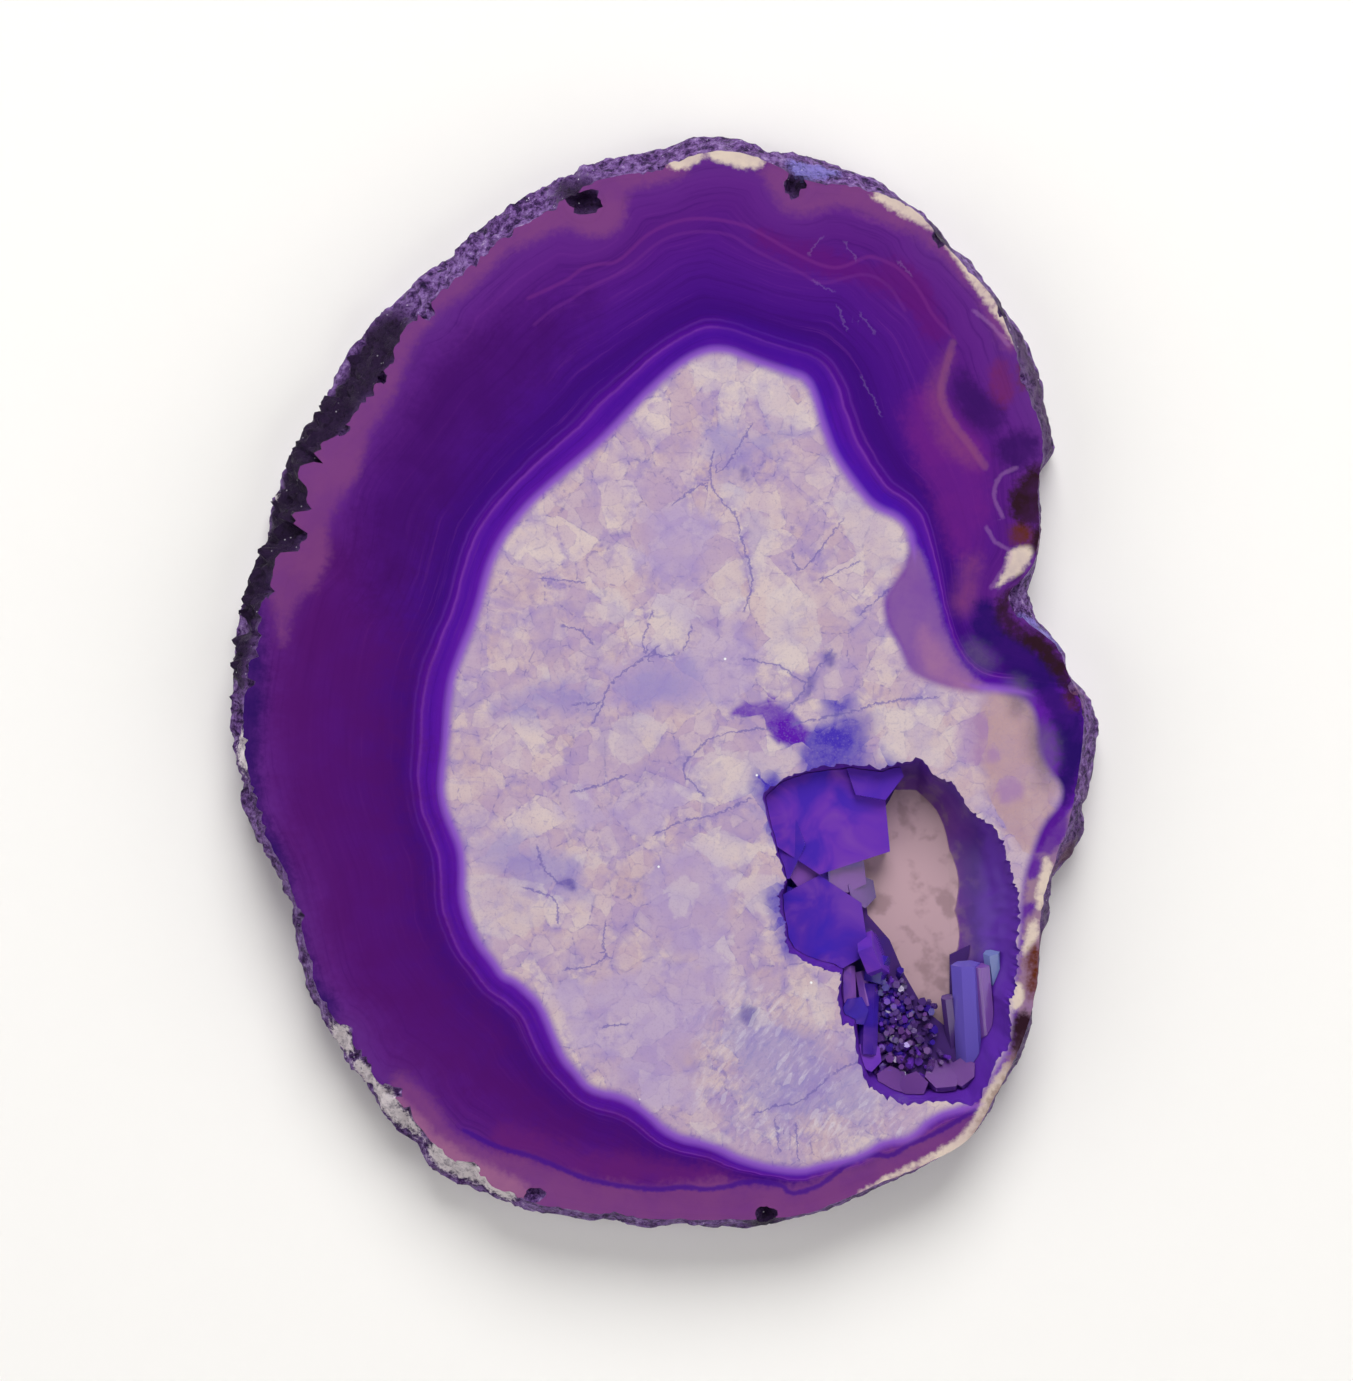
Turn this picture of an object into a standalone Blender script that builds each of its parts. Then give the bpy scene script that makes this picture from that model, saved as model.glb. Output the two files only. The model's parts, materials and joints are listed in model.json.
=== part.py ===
# Agate slice: one cut and polished stone, with a crystal-lined pocket in its quartz centre.
# It lies on its back, polished face up, +Y along its length. Metres.
import math
import random

import bmesh
import bpy
import numpy as np
from mathutils import Matrix, Vector, noise

MM = 0.001
LENGTH = 68.4 * MM                 # the slice's longest side
THICKNESS = 5.0 * MM               # between the two sawn faces
POCKET_DEPTH = 3.3 * MM            # the blind pocket, measured from the polished face
GAP = 0.3 * MM                     # between the crust and the stone it grew in
LUMP = 0.75 * MM                   # how far the rind's lumps reach
GRIT = 0.25 * MM                   # how far its finer grit reaches
STEPS_ROUND = 240                  # points round the rind
POCKET_STEPS = 96                  # points round the pocket
BED_BOTTOM, BED_TOP = 1.9 * MM, 2.5 * MM

# Outlines are in photo pixels, y down, clockwise from the top left. LENGTH gives them their size.
SILHOUETTE = [
    (565, 173), (600, 159), (640, 154), (674, 144), (700, 134), (719, 134), (740, 137),
    (765, 147), (801, 151), (840, 161), (880, 181), (920, 209), (939, 225), (953, 244),
    (970, 258), (986, 283), (1000, 300), (1021, 328), (1038, 361), (1047, 406), (1057, 449),
    (1046, 465), (1039, 473), (1039, 500), (1042, 542), (1036, 572), (1030, 591),
    (1035, 613), (1056, 639), (1066, 653), (1069, 674), (1093, 700), (1100, 721),
    (1095, 762), (1086, 803), (1086, 833), (1069, 859), (1053, 878), (1051, 912),
    (1041, 936), (1038, 968), (1031, 998), (1032, 1023), (1022, 1057), (1000, 1091),
    (996, 1106), (980, 1128), (949, 1149), (918, 1169), (858, 1198), (820, 1214),
    (761, 1226), (690, 1229), (620, 1224), (560, 1216), (484, 1196), (434, 1171),
    (416, 1146), (395, 1131), (373, 1106), (357, 1080), (339, 1046), (320, 1010),
    (306, 988), (296, 950), (291, 904), (277, 871), (254, 832), (240, 800), (239, 761),
    (231, 736), (232, 668), (231, 636), (243, 596), (266, 539), (269, 500), (285, 464),
    (306, 425), (324, 399), (336, 365), (375, 320), (410, 286), (450, 252), (490, 220),
    (530, 193),
]
POLISHED_EDGE = [
    (569, 204), (588, 189), (610, 182), (659, 176), (674, 165), (717, 155), (755, 161),
    (778, 173), (806, 189), (844, 189), (888, 201), (920, 220), (940, 248), (970, 278),
    (996, 309), (1013, 357), (1024, 395), (1039, 436), (1041, 454), (1036, 473),
    (1034, 500), (1037, 545), (1028, 570), (1010, 590), (1009, 604), (1021, 623),
    (1044, 637), (1056, 649), (1064, 676), (1079, 702), (1079, 745), (1070, 800),
    (1058, 845), (1045, 875), (1036, 920), (1035, 980), (1026, 1020), (1010, 1060),
    (984, 1108), (964, 1139), (920, 1161), (864, 1185), (800, 1212), (745, 1214),
    (690, 1215), (620, 1211), (540, 1200), (500, 1185), (455, 1155), (425, 1128),
    (405, 1100), (372, 1070), (357, 1040), (335, 1012), (318, 985), (308, 940),
    (300, 900), (285, 860), (262, 815), (252, 765), (250, 720), (256, 660), (262, 605),
    (278, 559), (292, 525), (302, 503), (300, 464), (322, 440), (349, 430), (367, 394),
    (387, 379), (403, 345), (437, 303), (470, 272), (505, 240), (538, 224), (560, 206),
]
POCKET_RIM = [
    (762, 792), (785, 775), (825, 765), (880, 768), (901, 760), (919, 757), (930, 774),
    (950, 781), (967, 809), (993, 827), (1008, 865), (1016, 897), (1014, 938), (1006, 1003),
    (1008, 1041), (993, 1059), (972, 1101), (937, 1097), (902, 1100), (867, 1084),
    (857, 1059), (852, 1023), (840, 1019), (840, 971), (820, 965), (786, 948), (783, 925),
    (777, 893), (785, 880), (780, 862), (770, 830),
]
POCKET_FLOOR = [
    (785, 808), (850, 787), (899, 792), (917, 792), (937, 812), (949, 853), (953, 912),
    (952, 960), (968, 1000), (962, 1050), (945, 1080), (905, 1084), (872, 1060), (862, 1010),
    (850, 955), (800, 935), (798, 900), (792, 850),
]
BED = [
    (755, 785), (850, 760), (905, 765), (890, 810), (868, 850), (885, 905), (912, 965),
    (938, 985), (945, 930), (1015, 930), (1015, 1100), (860, 1110), (835, 1010), (765, 960),
    (765, 880),
]

# Pits broken into the polished edge: middle in photo pixels, half sizes across and down, depth in mm.
PITS = [
    (586, 208, 1.15, 0.75, 1.1), (794, 190, 0.8, 0.8, 1.0), (938, 240, 0.5, 0.75, 0.8),
    (999, 313, 0.5, 0.6, 0.7), (427, 312, 0.7, 0.7, 1.0), (306, 533, 0.8, 0.6, 0.9),
    (321, 463, 0.6, 0.6, 0.8), (394, 1088, 0.8, 0.6, 0.9), (536, 1189, 0.8, 0.5, 0.8),
    (764, 1211, 0.75, 0.9, 1.2), (1016, 600, 0.7, 1.0, 1.1), (343, 1036, 0.9, 1.0, 0.8),
    (1074, 688, 0.6, 0.7, 0.8), (1043, 878, 0.6, 0.8, 0.8), (464, 1168, 1.3, 0.6, 0.7),
]

# Crystals that show one by one: root in photo pixels, root height in mm, heading in degrees
# (0 is +X, 90 is +Y), lean from upright in degrees, radius and length in mm.
CRYSTALS = [
    (800, 800, 2.0, -35, 38, 3.1, 4.2), (855, 790, 2.0, -60, 48, 2.3, 3.6),
    (800, 845, 2.0, -5, 52, 2.2, 4.0), (803, 905, 2.0, 8, 40, 2.4, 4.2),
    (812, 938, 2.0, 15, 46, 2.1, 4.3), (858, 950, 1.9, 25, 55, 1.3, 3.4),
    (848, 985, 2.0, 5, 35, 0.9, 3.2), (855, 1003, 2.0, -5, 30, 0.8, 2.9),
    (862, 1030, 2.0, 10, 25, 0.9, 2.6), (870, 1058, 2.0, 40, 35, 1.0, 2.8),
    (990, 1045, 1.9, 96, 62, 1.15, 7.2), (972, 1062, 1.9, 99, 66, 1.1, 7.6),
    (1002, 1010, 2.1, 100, 55, 0.8, 5.0), (985, 1000, 1.9, 92, 70, 0.8, 4.6),
    (905, 1085, 2.0, 80, 45, 1.1, 2.6), (938, 1085, 2.0, 100, 40, 1.3, 2.6),
    (962, 1085, 2.0, 120, 35, 1.2, 2.6), (1000, 1045, 2.0, 150, 35, 1.0, 2.6),
]
DRUSE_COUNT = 26                   # small points that fill the pocket's lower end
DRUSE_LEFT, DRUSE_RIGHT = 866, 962
DRUSE_TOP, DRUSE_BOTTOM = 975, 1090

# The rind from back to face: height as a share of the thickness, how far the ring has moved
# from the silhouette to the polished edge, how far it draws in (mm), and its share of roughness.
RIND_ROWS = [
    (0.00, 0.00, 0.45, 0.0), (0.07, 0.00, 0.15, 0.5), (0.24, 0.00, 0.0, 0.6),
    (0.44, 0.12, 0.0, 1.0), (0.64, 0.34, 0.0, 1.0), (0.83, 0.66, 0.0, 0.9),
    (0.95, 0.93, 0.0, 0.4), (1.00, 1.00, 0.0, 0.0),
]
POCKET_ROWS = [(0.0, 0.0), (0.3, 0.16), (0.62, 0.42), (0.86, 0.72), (1.0, 1.0)]   # depth, way to the floor
TOOTH = 0.09 * MM                  # the jagged rim's teeth

pixel = LENGTH / (max(y for x, y in SILHOUETTE) - min(y for x, y in SILHOUETTE))
middle = [(max(c) + min(c)) / 2 for c in zip(*SILHOUETTE)]


def place(px, py):
    """A photo pixel as metres from the slice's middle."""
    return (px - middle[0]) * pixel, (middle[1] - py) * pixel


def ring(points, centre, angles):
    """An outline's radius about centre at each angle, straight from point to point."""
    cx, cy = place(*centre)
    polar = sorted((math.atan2(y - cy, x - cx), math.hypot(x - cx, y - cy))
                   for x, y in (place(*p) for p in points))
    return np.interp(angles, [a for a, r in polar], [r for a, r in polar], period=2 * math.pi)


def even_angles(count):
    return np.arange(count) * 2 * math.pi / count - math.pi


def loft(name, rings, collection):
    """A closed solid through rings of points, the first at the bottom, with flat ends."""
    bm = bmesh.new()
    rows = [[bm.verts.new(p) for p in points] for points in rings]
    for low, high in zip(rows, rows[1:]):
        for i in range(len(low)):
            j = (i + 1) % len(low)
            bm.faces.new((low[i], low[j], high[j], high[i]))
    bm.faces.new(rows[0][::-1])
    bm.faces.new(rows[-1])
    return keep(name, bm, collection)


def keep(name, bm, collection):
    """The bmesh as an object in the collection."""
    mesh = bpy.data.meshes.new(name)
    bm.to_mesh(mesh)
    bm.free()
    piece = bpy.data.objects.new(name, mesh)
    collection.objects.link(piece)
    if collection is cutters:
        piece.hide_render = True
        piece.display_type = "WIRE"
    return piece


def material(name, colour, roughness):
    mat = bpy.data.materials.new(name)
    mat.use_nodes = True
    shader = mat.node_tree.nodes["Principled BSDF"]
    shader.inputs["Base Color"].default_value = (*colour, 1)
    shader.inputs["Roughness"].default_value = roughness
    return mat


def boolean(piece, operation, other):
    """A live Boolean with an object or with all of a collection's objects."""
    modifier = piece.modifiers.new(operation.title(), "BOOLEAN")
    modifier.operation = operation
    modifier.solver = "EXACT"
    if isinstance(other, bpy.types.Collection):
        modifier.operand_type = "COLLECTION"
        modifier.collection = other
    else:
        modifier.object = other


def roughness_at(x, y, z):
    """The rind's lumps and finer grit at a point, outwards."""
    spot = Vector((x, y, z)) / MM
    lump = noise.noise(spot * 0.42)
    ledge = abs(noise.noise(spot * Vector((0.9, 0.9, 1.6)) + Vector((40, 0, 0)))) * 2 - 0.5
    grit = noise.noise(spot * 1.7 + Vector((0, 70, 0)))
    return LUMP * (lump + 0.5 * ledge) + GRIT * grit


def slice_body(collection):
    """The sawn stone: a rough rind between the silhouette and the smaller polished face."""
    angles = even_angles(STEPS_ROUND)
    outer = ring(SILHOUETTE, middle, angles)
    inner = np.minimum(ring(POLISHED_EDGE, middle, angles), outer - 0.1 * MM)
    rings = []
    for height, share, draw_in, rough in RIND_ROWS:
        points = []
        for angle, out, face in zip(angles, outer, inner):
            radius = out + (face - out) * share - draw_in * MM
            x, y, z = radius * math.cos(angle), radius * math.sin(angle), height * THICKNESS
            if rough:
                room = 0.5 + min(1.0, (out - face) / (1.5 * MM))
                push = roughness_at(x, y, z) * rough * room
                radius = min(radius + push, out)
            points.append((radius * math.cos(angle), radius * math.sin(angle), z))
        rings.append(points)
    return loft("agate_slice", rings, collection)


def pit_cutters(collection):
    """Lumpy faceted balls, half sunk in the polished face, one for each pit."""
    for number, (px, py, across, down, depth) in enumerate(PITS, 1):
        x, y = place(px, py)
        bm = bmesh.new()
        bmesh.ops.create_icosphere(bm, subdivisions=2, radius=1)
        dice = random.Random(number)
        for vert in bm.verts:
            vert.co *= dice.uniform(0.82, 1.1)
        size = Matrix.Diagonal((across * MM, down * MM, depth * MM, 1))
        bmesh.ops.transform(bm, matrix=Matrix.Translation((x, y, THICKNESS)) @ size, verts=bm.verts)
        keep(f"pit_{number}", bm, collection)


def pocket_solid(name, collection, inset, top, bottom):
    """The pocket as a solid: a jagged rim, walls that slope to a smaller floor."""
    angles = even_angles(POCKET_STEPS)
    centre = (900, 930)
    cx, cy = place(*centre)
    rim, floor = ring(POCKET_RIM, centre, angles), ring(POCKET_FLOOR, centre, angles)
    rings = []
    for depth, share in reversed(POCKET_ROWS):
        points = []
        for step, angle in enumerate(angles):
            tooth = (TOOTH if step % 2 else -TOOTH) * (1 - depth)
            radius = rim[step] + (floor[step] - rim[step]) * share + tooth - inset
            height = THICKNESS + (bottom - THICKNESS) * depth
            points.append((cx + radius * math.cos(angle), cy + radius * math.sin(angle), height))
        rings.append(points)
    if top > THICKNESS:
        rings.append([(x, y, top) for x, y, z in rings[-1]])
    return loft(name, rings, collection)


def crystal(name, collection, px, py, height, heading, lean, radius, length):
    """A six-sided prism with an uneven pyramid for its tip."""
    bm = bmesh.new()
    bmesh.ops.create_cone(bm, cap_ends=True, segments=6, radius1=1.0, radius2=0.94, depth=1)
    top = max(bm.faces, key=lambda face: face.calc_center_median().z)
    peak = bmesh.ops.poke(bm, faces=[top])["verts"][0]
    dice = random.Random(name)
    peak.co += Vector((dice.uniform(-0.35, 0.35), dice.uniform(-0.35, 0.35), 0.8 * radius / length))
    x, y = place(px, py)
    turn = (Matrix.Rotation(math.radians(heading), 4, "Z")
            @ Matrix.Rotation(math.radians(lean), 4, "Y")
            @ Matrix.Rotation(dice.uniform(0, math.pi / 3), 4, "Z"))
    size = Matrix.Diagonal((radius * MM, radius * MM, length * MM, 1))
    stand = Matrix.Translation((0, 0, length * MM / 2))
    bmesh.ops.transform(bm, matrix=Matrix.Translation((x, y, height * MM)) @ turn @ stand @ size,
                        verts=bm.verts)
    return keep(name, bm, collection)


def largest_body(piece):
    """Applies the modifiers and keeps the biggest connected body, without the small voids that
    close between leaning crystals."""
    evaluated = piece.evaluated_get(bpy.context.evaluated_depsgraph_get())
    mesh = bpy.data.meshes.new_from_object(evaluated)
    bm = bmesh.new()
    bm.from_mesh(mesh)
    left, bodies = set(bm.faces), []
    while left:
        body, front = set(), {left.pop()}
        while front:
            face = front.pop()
            body.add(face)
            near = {other for edge in face.edges for other in edge.link_faces} & left
            left -= near
            front |= near
        bodies.append(body)
    biggest = max(bodies, key=len)
    bmesh.ops.delete(bm, geom=[face for face in bm.faces if face not in biggest], context="FACES")
    bm.to_mesh(mesh)
    bm.free()
    piece.modifiers.clear()
    piece.data = mesh


def crystal_crust(collection):
    """Crystals on one bed, all cut off by the pocket's walls and by the polished plane."""
    bed = loft("crystal_crust", [[(*place(*p), z) for p in BED[::-1]] for z in (BED_BOTTOM, BED_TOP)],
               collection)
    for number, row in enumerate(CRYSTALS, 1):
        crystal(f"crystal_{number}", crystal_set, *row)
    dice = random.Random(8)
    for number in range(DRUSE_COUNT):
        crystal(f"druse_{number}", crystal_set, dice.uniform(DRUSE_LEFT, DRUSE_RIGHT),
                dice.uniform(DRUSE_TOP, DRUSE_BOTTOM), 2.0, dice.uniform(0, 360),
                dice.uniform(5, 35), dice.uniform(0.4, 0.75), dice.uniform(0.8, 1.9))
    boolean(bed, "UNION", crystal_set)
    boolean(bed, "INTERSECT", pocket_solid("pocket_core", cutters, GAP * 1.2,
                                           THICKNESS, THICKNESS - POCKET_DEPTH + GAP))
    largest_body(bed)
    return bed


def new_collection(name):
    collection = bpy.data.collections.new(name)
    bpy.context.scene.collection.children.link(collection)
    return collection


for old in list(bpy.data.objects):
    bpy.data.objects.remove(old, do_unlink=True)

parts = new_collection("agate_slice_part")
cutters = new_collection("cutters")
pits = new_collection("pits")
crystal_set = new_collection("crystal_set")

stone = slice_body(parts)
stone.data.materials.append(material("dyed_agate", (0.09, 0.01, 0.24), 0.2))
pit_cutters(pits)
boolean(stone, "DIFFERENCE", pits)
pocket = pocket_solid("pocket", cutters, 0, THICKNESS + 1 * MM, THICKNESS - POCKET_DEPTH)
boolean(stone, "DIFFERENCE", pocket)

crust = crystal_crust(parts)
crust.data.materials.append(material("dyed_quartz_crystal", (0.16, 0.05, 0.55), 0.12))

for group in (pits, crystal_set):
    for piece in group.objects:
        piece.hide_render = True
        piece.display_type = "WIRE"
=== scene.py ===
# Agate slice: its finish, floor, light and camera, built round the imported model. Metres, +Z up.
import json
import math
import random

import bpy
import numpy as np
from mathutils import Matrix, Vector, noise

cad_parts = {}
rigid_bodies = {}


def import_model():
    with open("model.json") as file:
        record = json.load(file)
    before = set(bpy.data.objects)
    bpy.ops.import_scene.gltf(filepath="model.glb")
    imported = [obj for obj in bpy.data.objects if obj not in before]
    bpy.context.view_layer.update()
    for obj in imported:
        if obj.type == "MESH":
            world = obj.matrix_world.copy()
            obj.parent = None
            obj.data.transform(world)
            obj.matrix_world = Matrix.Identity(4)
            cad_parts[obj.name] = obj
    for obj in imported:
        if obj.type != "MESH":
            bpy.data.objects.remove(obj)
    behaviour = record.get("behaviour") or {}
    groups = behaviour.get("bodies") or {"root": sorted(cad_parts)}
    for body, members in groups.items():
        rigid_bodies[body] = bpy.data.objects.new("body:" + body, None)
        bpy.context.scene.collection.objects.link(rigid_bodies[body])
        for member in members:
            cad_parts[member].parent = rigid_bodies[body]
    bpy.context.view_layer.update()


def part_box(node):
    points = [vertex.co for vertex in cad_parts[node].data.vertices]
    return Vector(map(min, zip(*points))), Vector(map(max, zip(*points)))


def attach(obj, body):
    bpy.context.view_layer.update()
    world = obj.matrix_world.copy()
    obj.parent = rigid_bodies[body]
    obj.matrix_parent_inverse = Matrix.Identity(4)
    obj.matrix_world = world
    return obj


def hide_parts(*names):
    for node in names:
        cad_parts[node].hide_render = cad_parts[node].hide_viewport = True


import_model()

mm = 0.001
stoneLow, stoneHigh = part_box("agate_slice")
thickness = stoneHigh.z

# Places are in photo pixels, y down. The stone's own length gives them their size.
photo = {"height": 1381, "left": 231, "right": 1100, "top": 134, "bottom": 1229}
pixel = (stoneHigh.y - stoneLow.y) / (photo["bottom"] - photo["top"])
middleX = (photo["left"] + photo["right"]) / 2
middleY = (photo["top"] + photo["bottom"]) / 2


def place(px, py):
    return (px - middleX) * pixel, (middleY - py) * pixel


def linear(code, alpha=1.0):   # an sRGB hex value as linear light
    channels = [int(code[i:i + 2], 16) / 255 for i in (0, 2, 4)]
    return [c / 12.92 if c < 0.04045 else ((c + 0.055) / 1.055) ** 2.4 for c in channels] + [alpha]


def add(tree, kind, settings, inputs, output=0):   # one node, with its settings and links
    made = tree.nodes.new("ShaderNode" + kind)
    for name, value in settings.items():
        if name == "stops":
            stops = made.color_ramp.elements
            for stop, (at, code) in ((stops[0], value[0]), (stops[1], value[-1])):
                stop.position, stop.color = at, linear(code)
            for at, code in value[1:-1]:
                stops.new(at).color = linear(code)
        else:
            setattr(made, name, value)
    for key, value in inputs.items():
        if isinstance(value, bpy.types.NodeSocket):
            tree.links.new(value, made.inputs[key])
        elif isinstance(value, str):
            made.inputs[key].default_value = linear(value)
        else:
            made.inputs[key].default_value = value
    return made.outputs[output]


def startMaterial(name):
    made = bpy.data.materials.new(name)
    made.use_nodes = True
    return made, made.node_tree, made.node_tree.nodes["Principled BSDF"]


def deselectAll():
    for other in bpy.data.objects:
        other.select_set(False)


def makeActive(piece):
    deselectAll()
    bpy.context.view_layer.objects.active = piece
    piece.select_set(True)
    return piece


def cut(piece, operation, tool, overlaps=False):   # an exact Boolean, which carries materials along
    makeActive(piece)
    modifier = piece.modifiers.new("cut", "BOOLEAN")
    modifier.operation = operation
    modifier.solver = "EXACT"
    modifier.material_mode = "TRANSFER"
    modifier.use_self = overlaps
    modifier.object = tool
    bpy.ops.object.modifier_apply(modifier="cut")
    bpy.data.objects.remove(tool, do_unlink=True)


def bisectRows(piece, heights):   # cuts a standing primitive into level rows
    makeActive(piece)
    bpy.ops.object.mode_set(mode="EDIT")
    for height in heights:
        bpy.ops.mesh.select_all(action="SELECT")
        bpy.ops.mesh.bisect(plane_co=(0, 0, height), plane_no=(0, 0, 1))
    bpy.ops.object.mode_set(mode="OBJECT")


def radiusAt(points, centre, angles):   # an outline's radius about centre at each angle
    cx, cy = place(*centre)
    polar = sorted((math.atan2(y - cy, x - cx), math.hypot(x - cx, y - cy))
                   for x, y in (place(*p) for p in points))
    return np.interp(angles, [a for a, r in polar], [r for a, r in polar], period=2 * math.pi)


def rounded(points, closed=True, rounds=2):   # corner cutting, so that bands run in curves
    for _ in range(rounds):
        ends = points[1:] + points[:1] if closed else points[1:]
        softer = [] if closed else [points[0]]
        for (ax, ay), (bx, by) in zip(points, ends):
            softer += [(0.75 * ax + 0.25 * bx, 0.75 * ay + 0.25 * by),
                       (0.25 * ax + 0.75 * bx, 0.25 * ay + 0.75 * by)]
        points = softer if closed else softer + [points[-1]]
    return points


def fromSegment(spots, start, end):   # the way along a segment, 0 to 1, and metres from it
    x, y = spots[:, 0] - start[0], spots[:, 1] - start[1]
    dx, dy = end[0] - start[0], end[1] - start[1]
    along = np.clip((x * dx + y * dy) / (dx * dx + dy * dy), 0, 1)
    return along, np.hypot(x - along * dx, y - along * dy)


def insideOutline(spots, points, rounds=2):   # mm to an outline, positive inside it
    corners = [place(*p) for p in rounded(list(points), True, rounds)]
    x, y = spots[:, 0], spots[:, 1]
    near, inside = np.full(len(x), 1e9), np.zeros(len(x), bool)
    for (ax, ay), (bx, by) in zip(corners, corners[1:] + corners[:1]):
        _, far = fromSegment(spots, (ax, ay), (bx, by))
        near = np.minimum(near, far)
        if ay != by:
            inside ^= ((ay > y) != (by > y)) & (x < (bx - ax) * (y - ay) / (by - ay) + ax)
    return np.where(inside, near, -near) / mm


def insideAny(spots, outlines, rounds):
    return np.max([insideOutline(spots, points, rounds) for points in outlines], axis=0)


def alongOutline(spots, points):   # mm along an outline to its point nearest each spot
    corners = [place(*p) for p in rounded(list(points))]
    near, found, travelled = np.full(len(spots), 1e9), np.zeros(len(spots)), 0
    for start, end in zip(corners, corners[1:] + corners[:1]):
        along, far = fromSegment(spots, start, end)
        length = math.dist(start, end)
        found = np.where(far < near, travelled + along * length, found)
        near = np.minimum(near, far)
        travelled += length
    return found / mm


def besideLines(spots, lines):   # mm beside the nearest of some open lines, and mm to it
    x, y = spots[:, 0], spots[:, 1]
    near, side = np.full(len(x), 1e9), np.zeros(len(x))
    for line in lines:
        corners = [place(*p) for p in rounded(list(line), False)]
        for (ax, ay), (bx, by) in zip(corners, corners[1:]):
            _, far = fromSegment(spots, (ax, ay), (bx, by))
            across = ((x - ax) * (by - ay) - (y - ay) * (bx - ax)) / math.hypot(bx - ax, by - ay)
            side = np.where(far < near, across, side)
            near = np.minimum(near, far)
    return side / mm, near / mm


def store(mesh, name, values):
    mesh.attributes.new(name, "FLOAT", "POINT").data.foreach_set("value", values.astype(np.float32))


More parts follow.
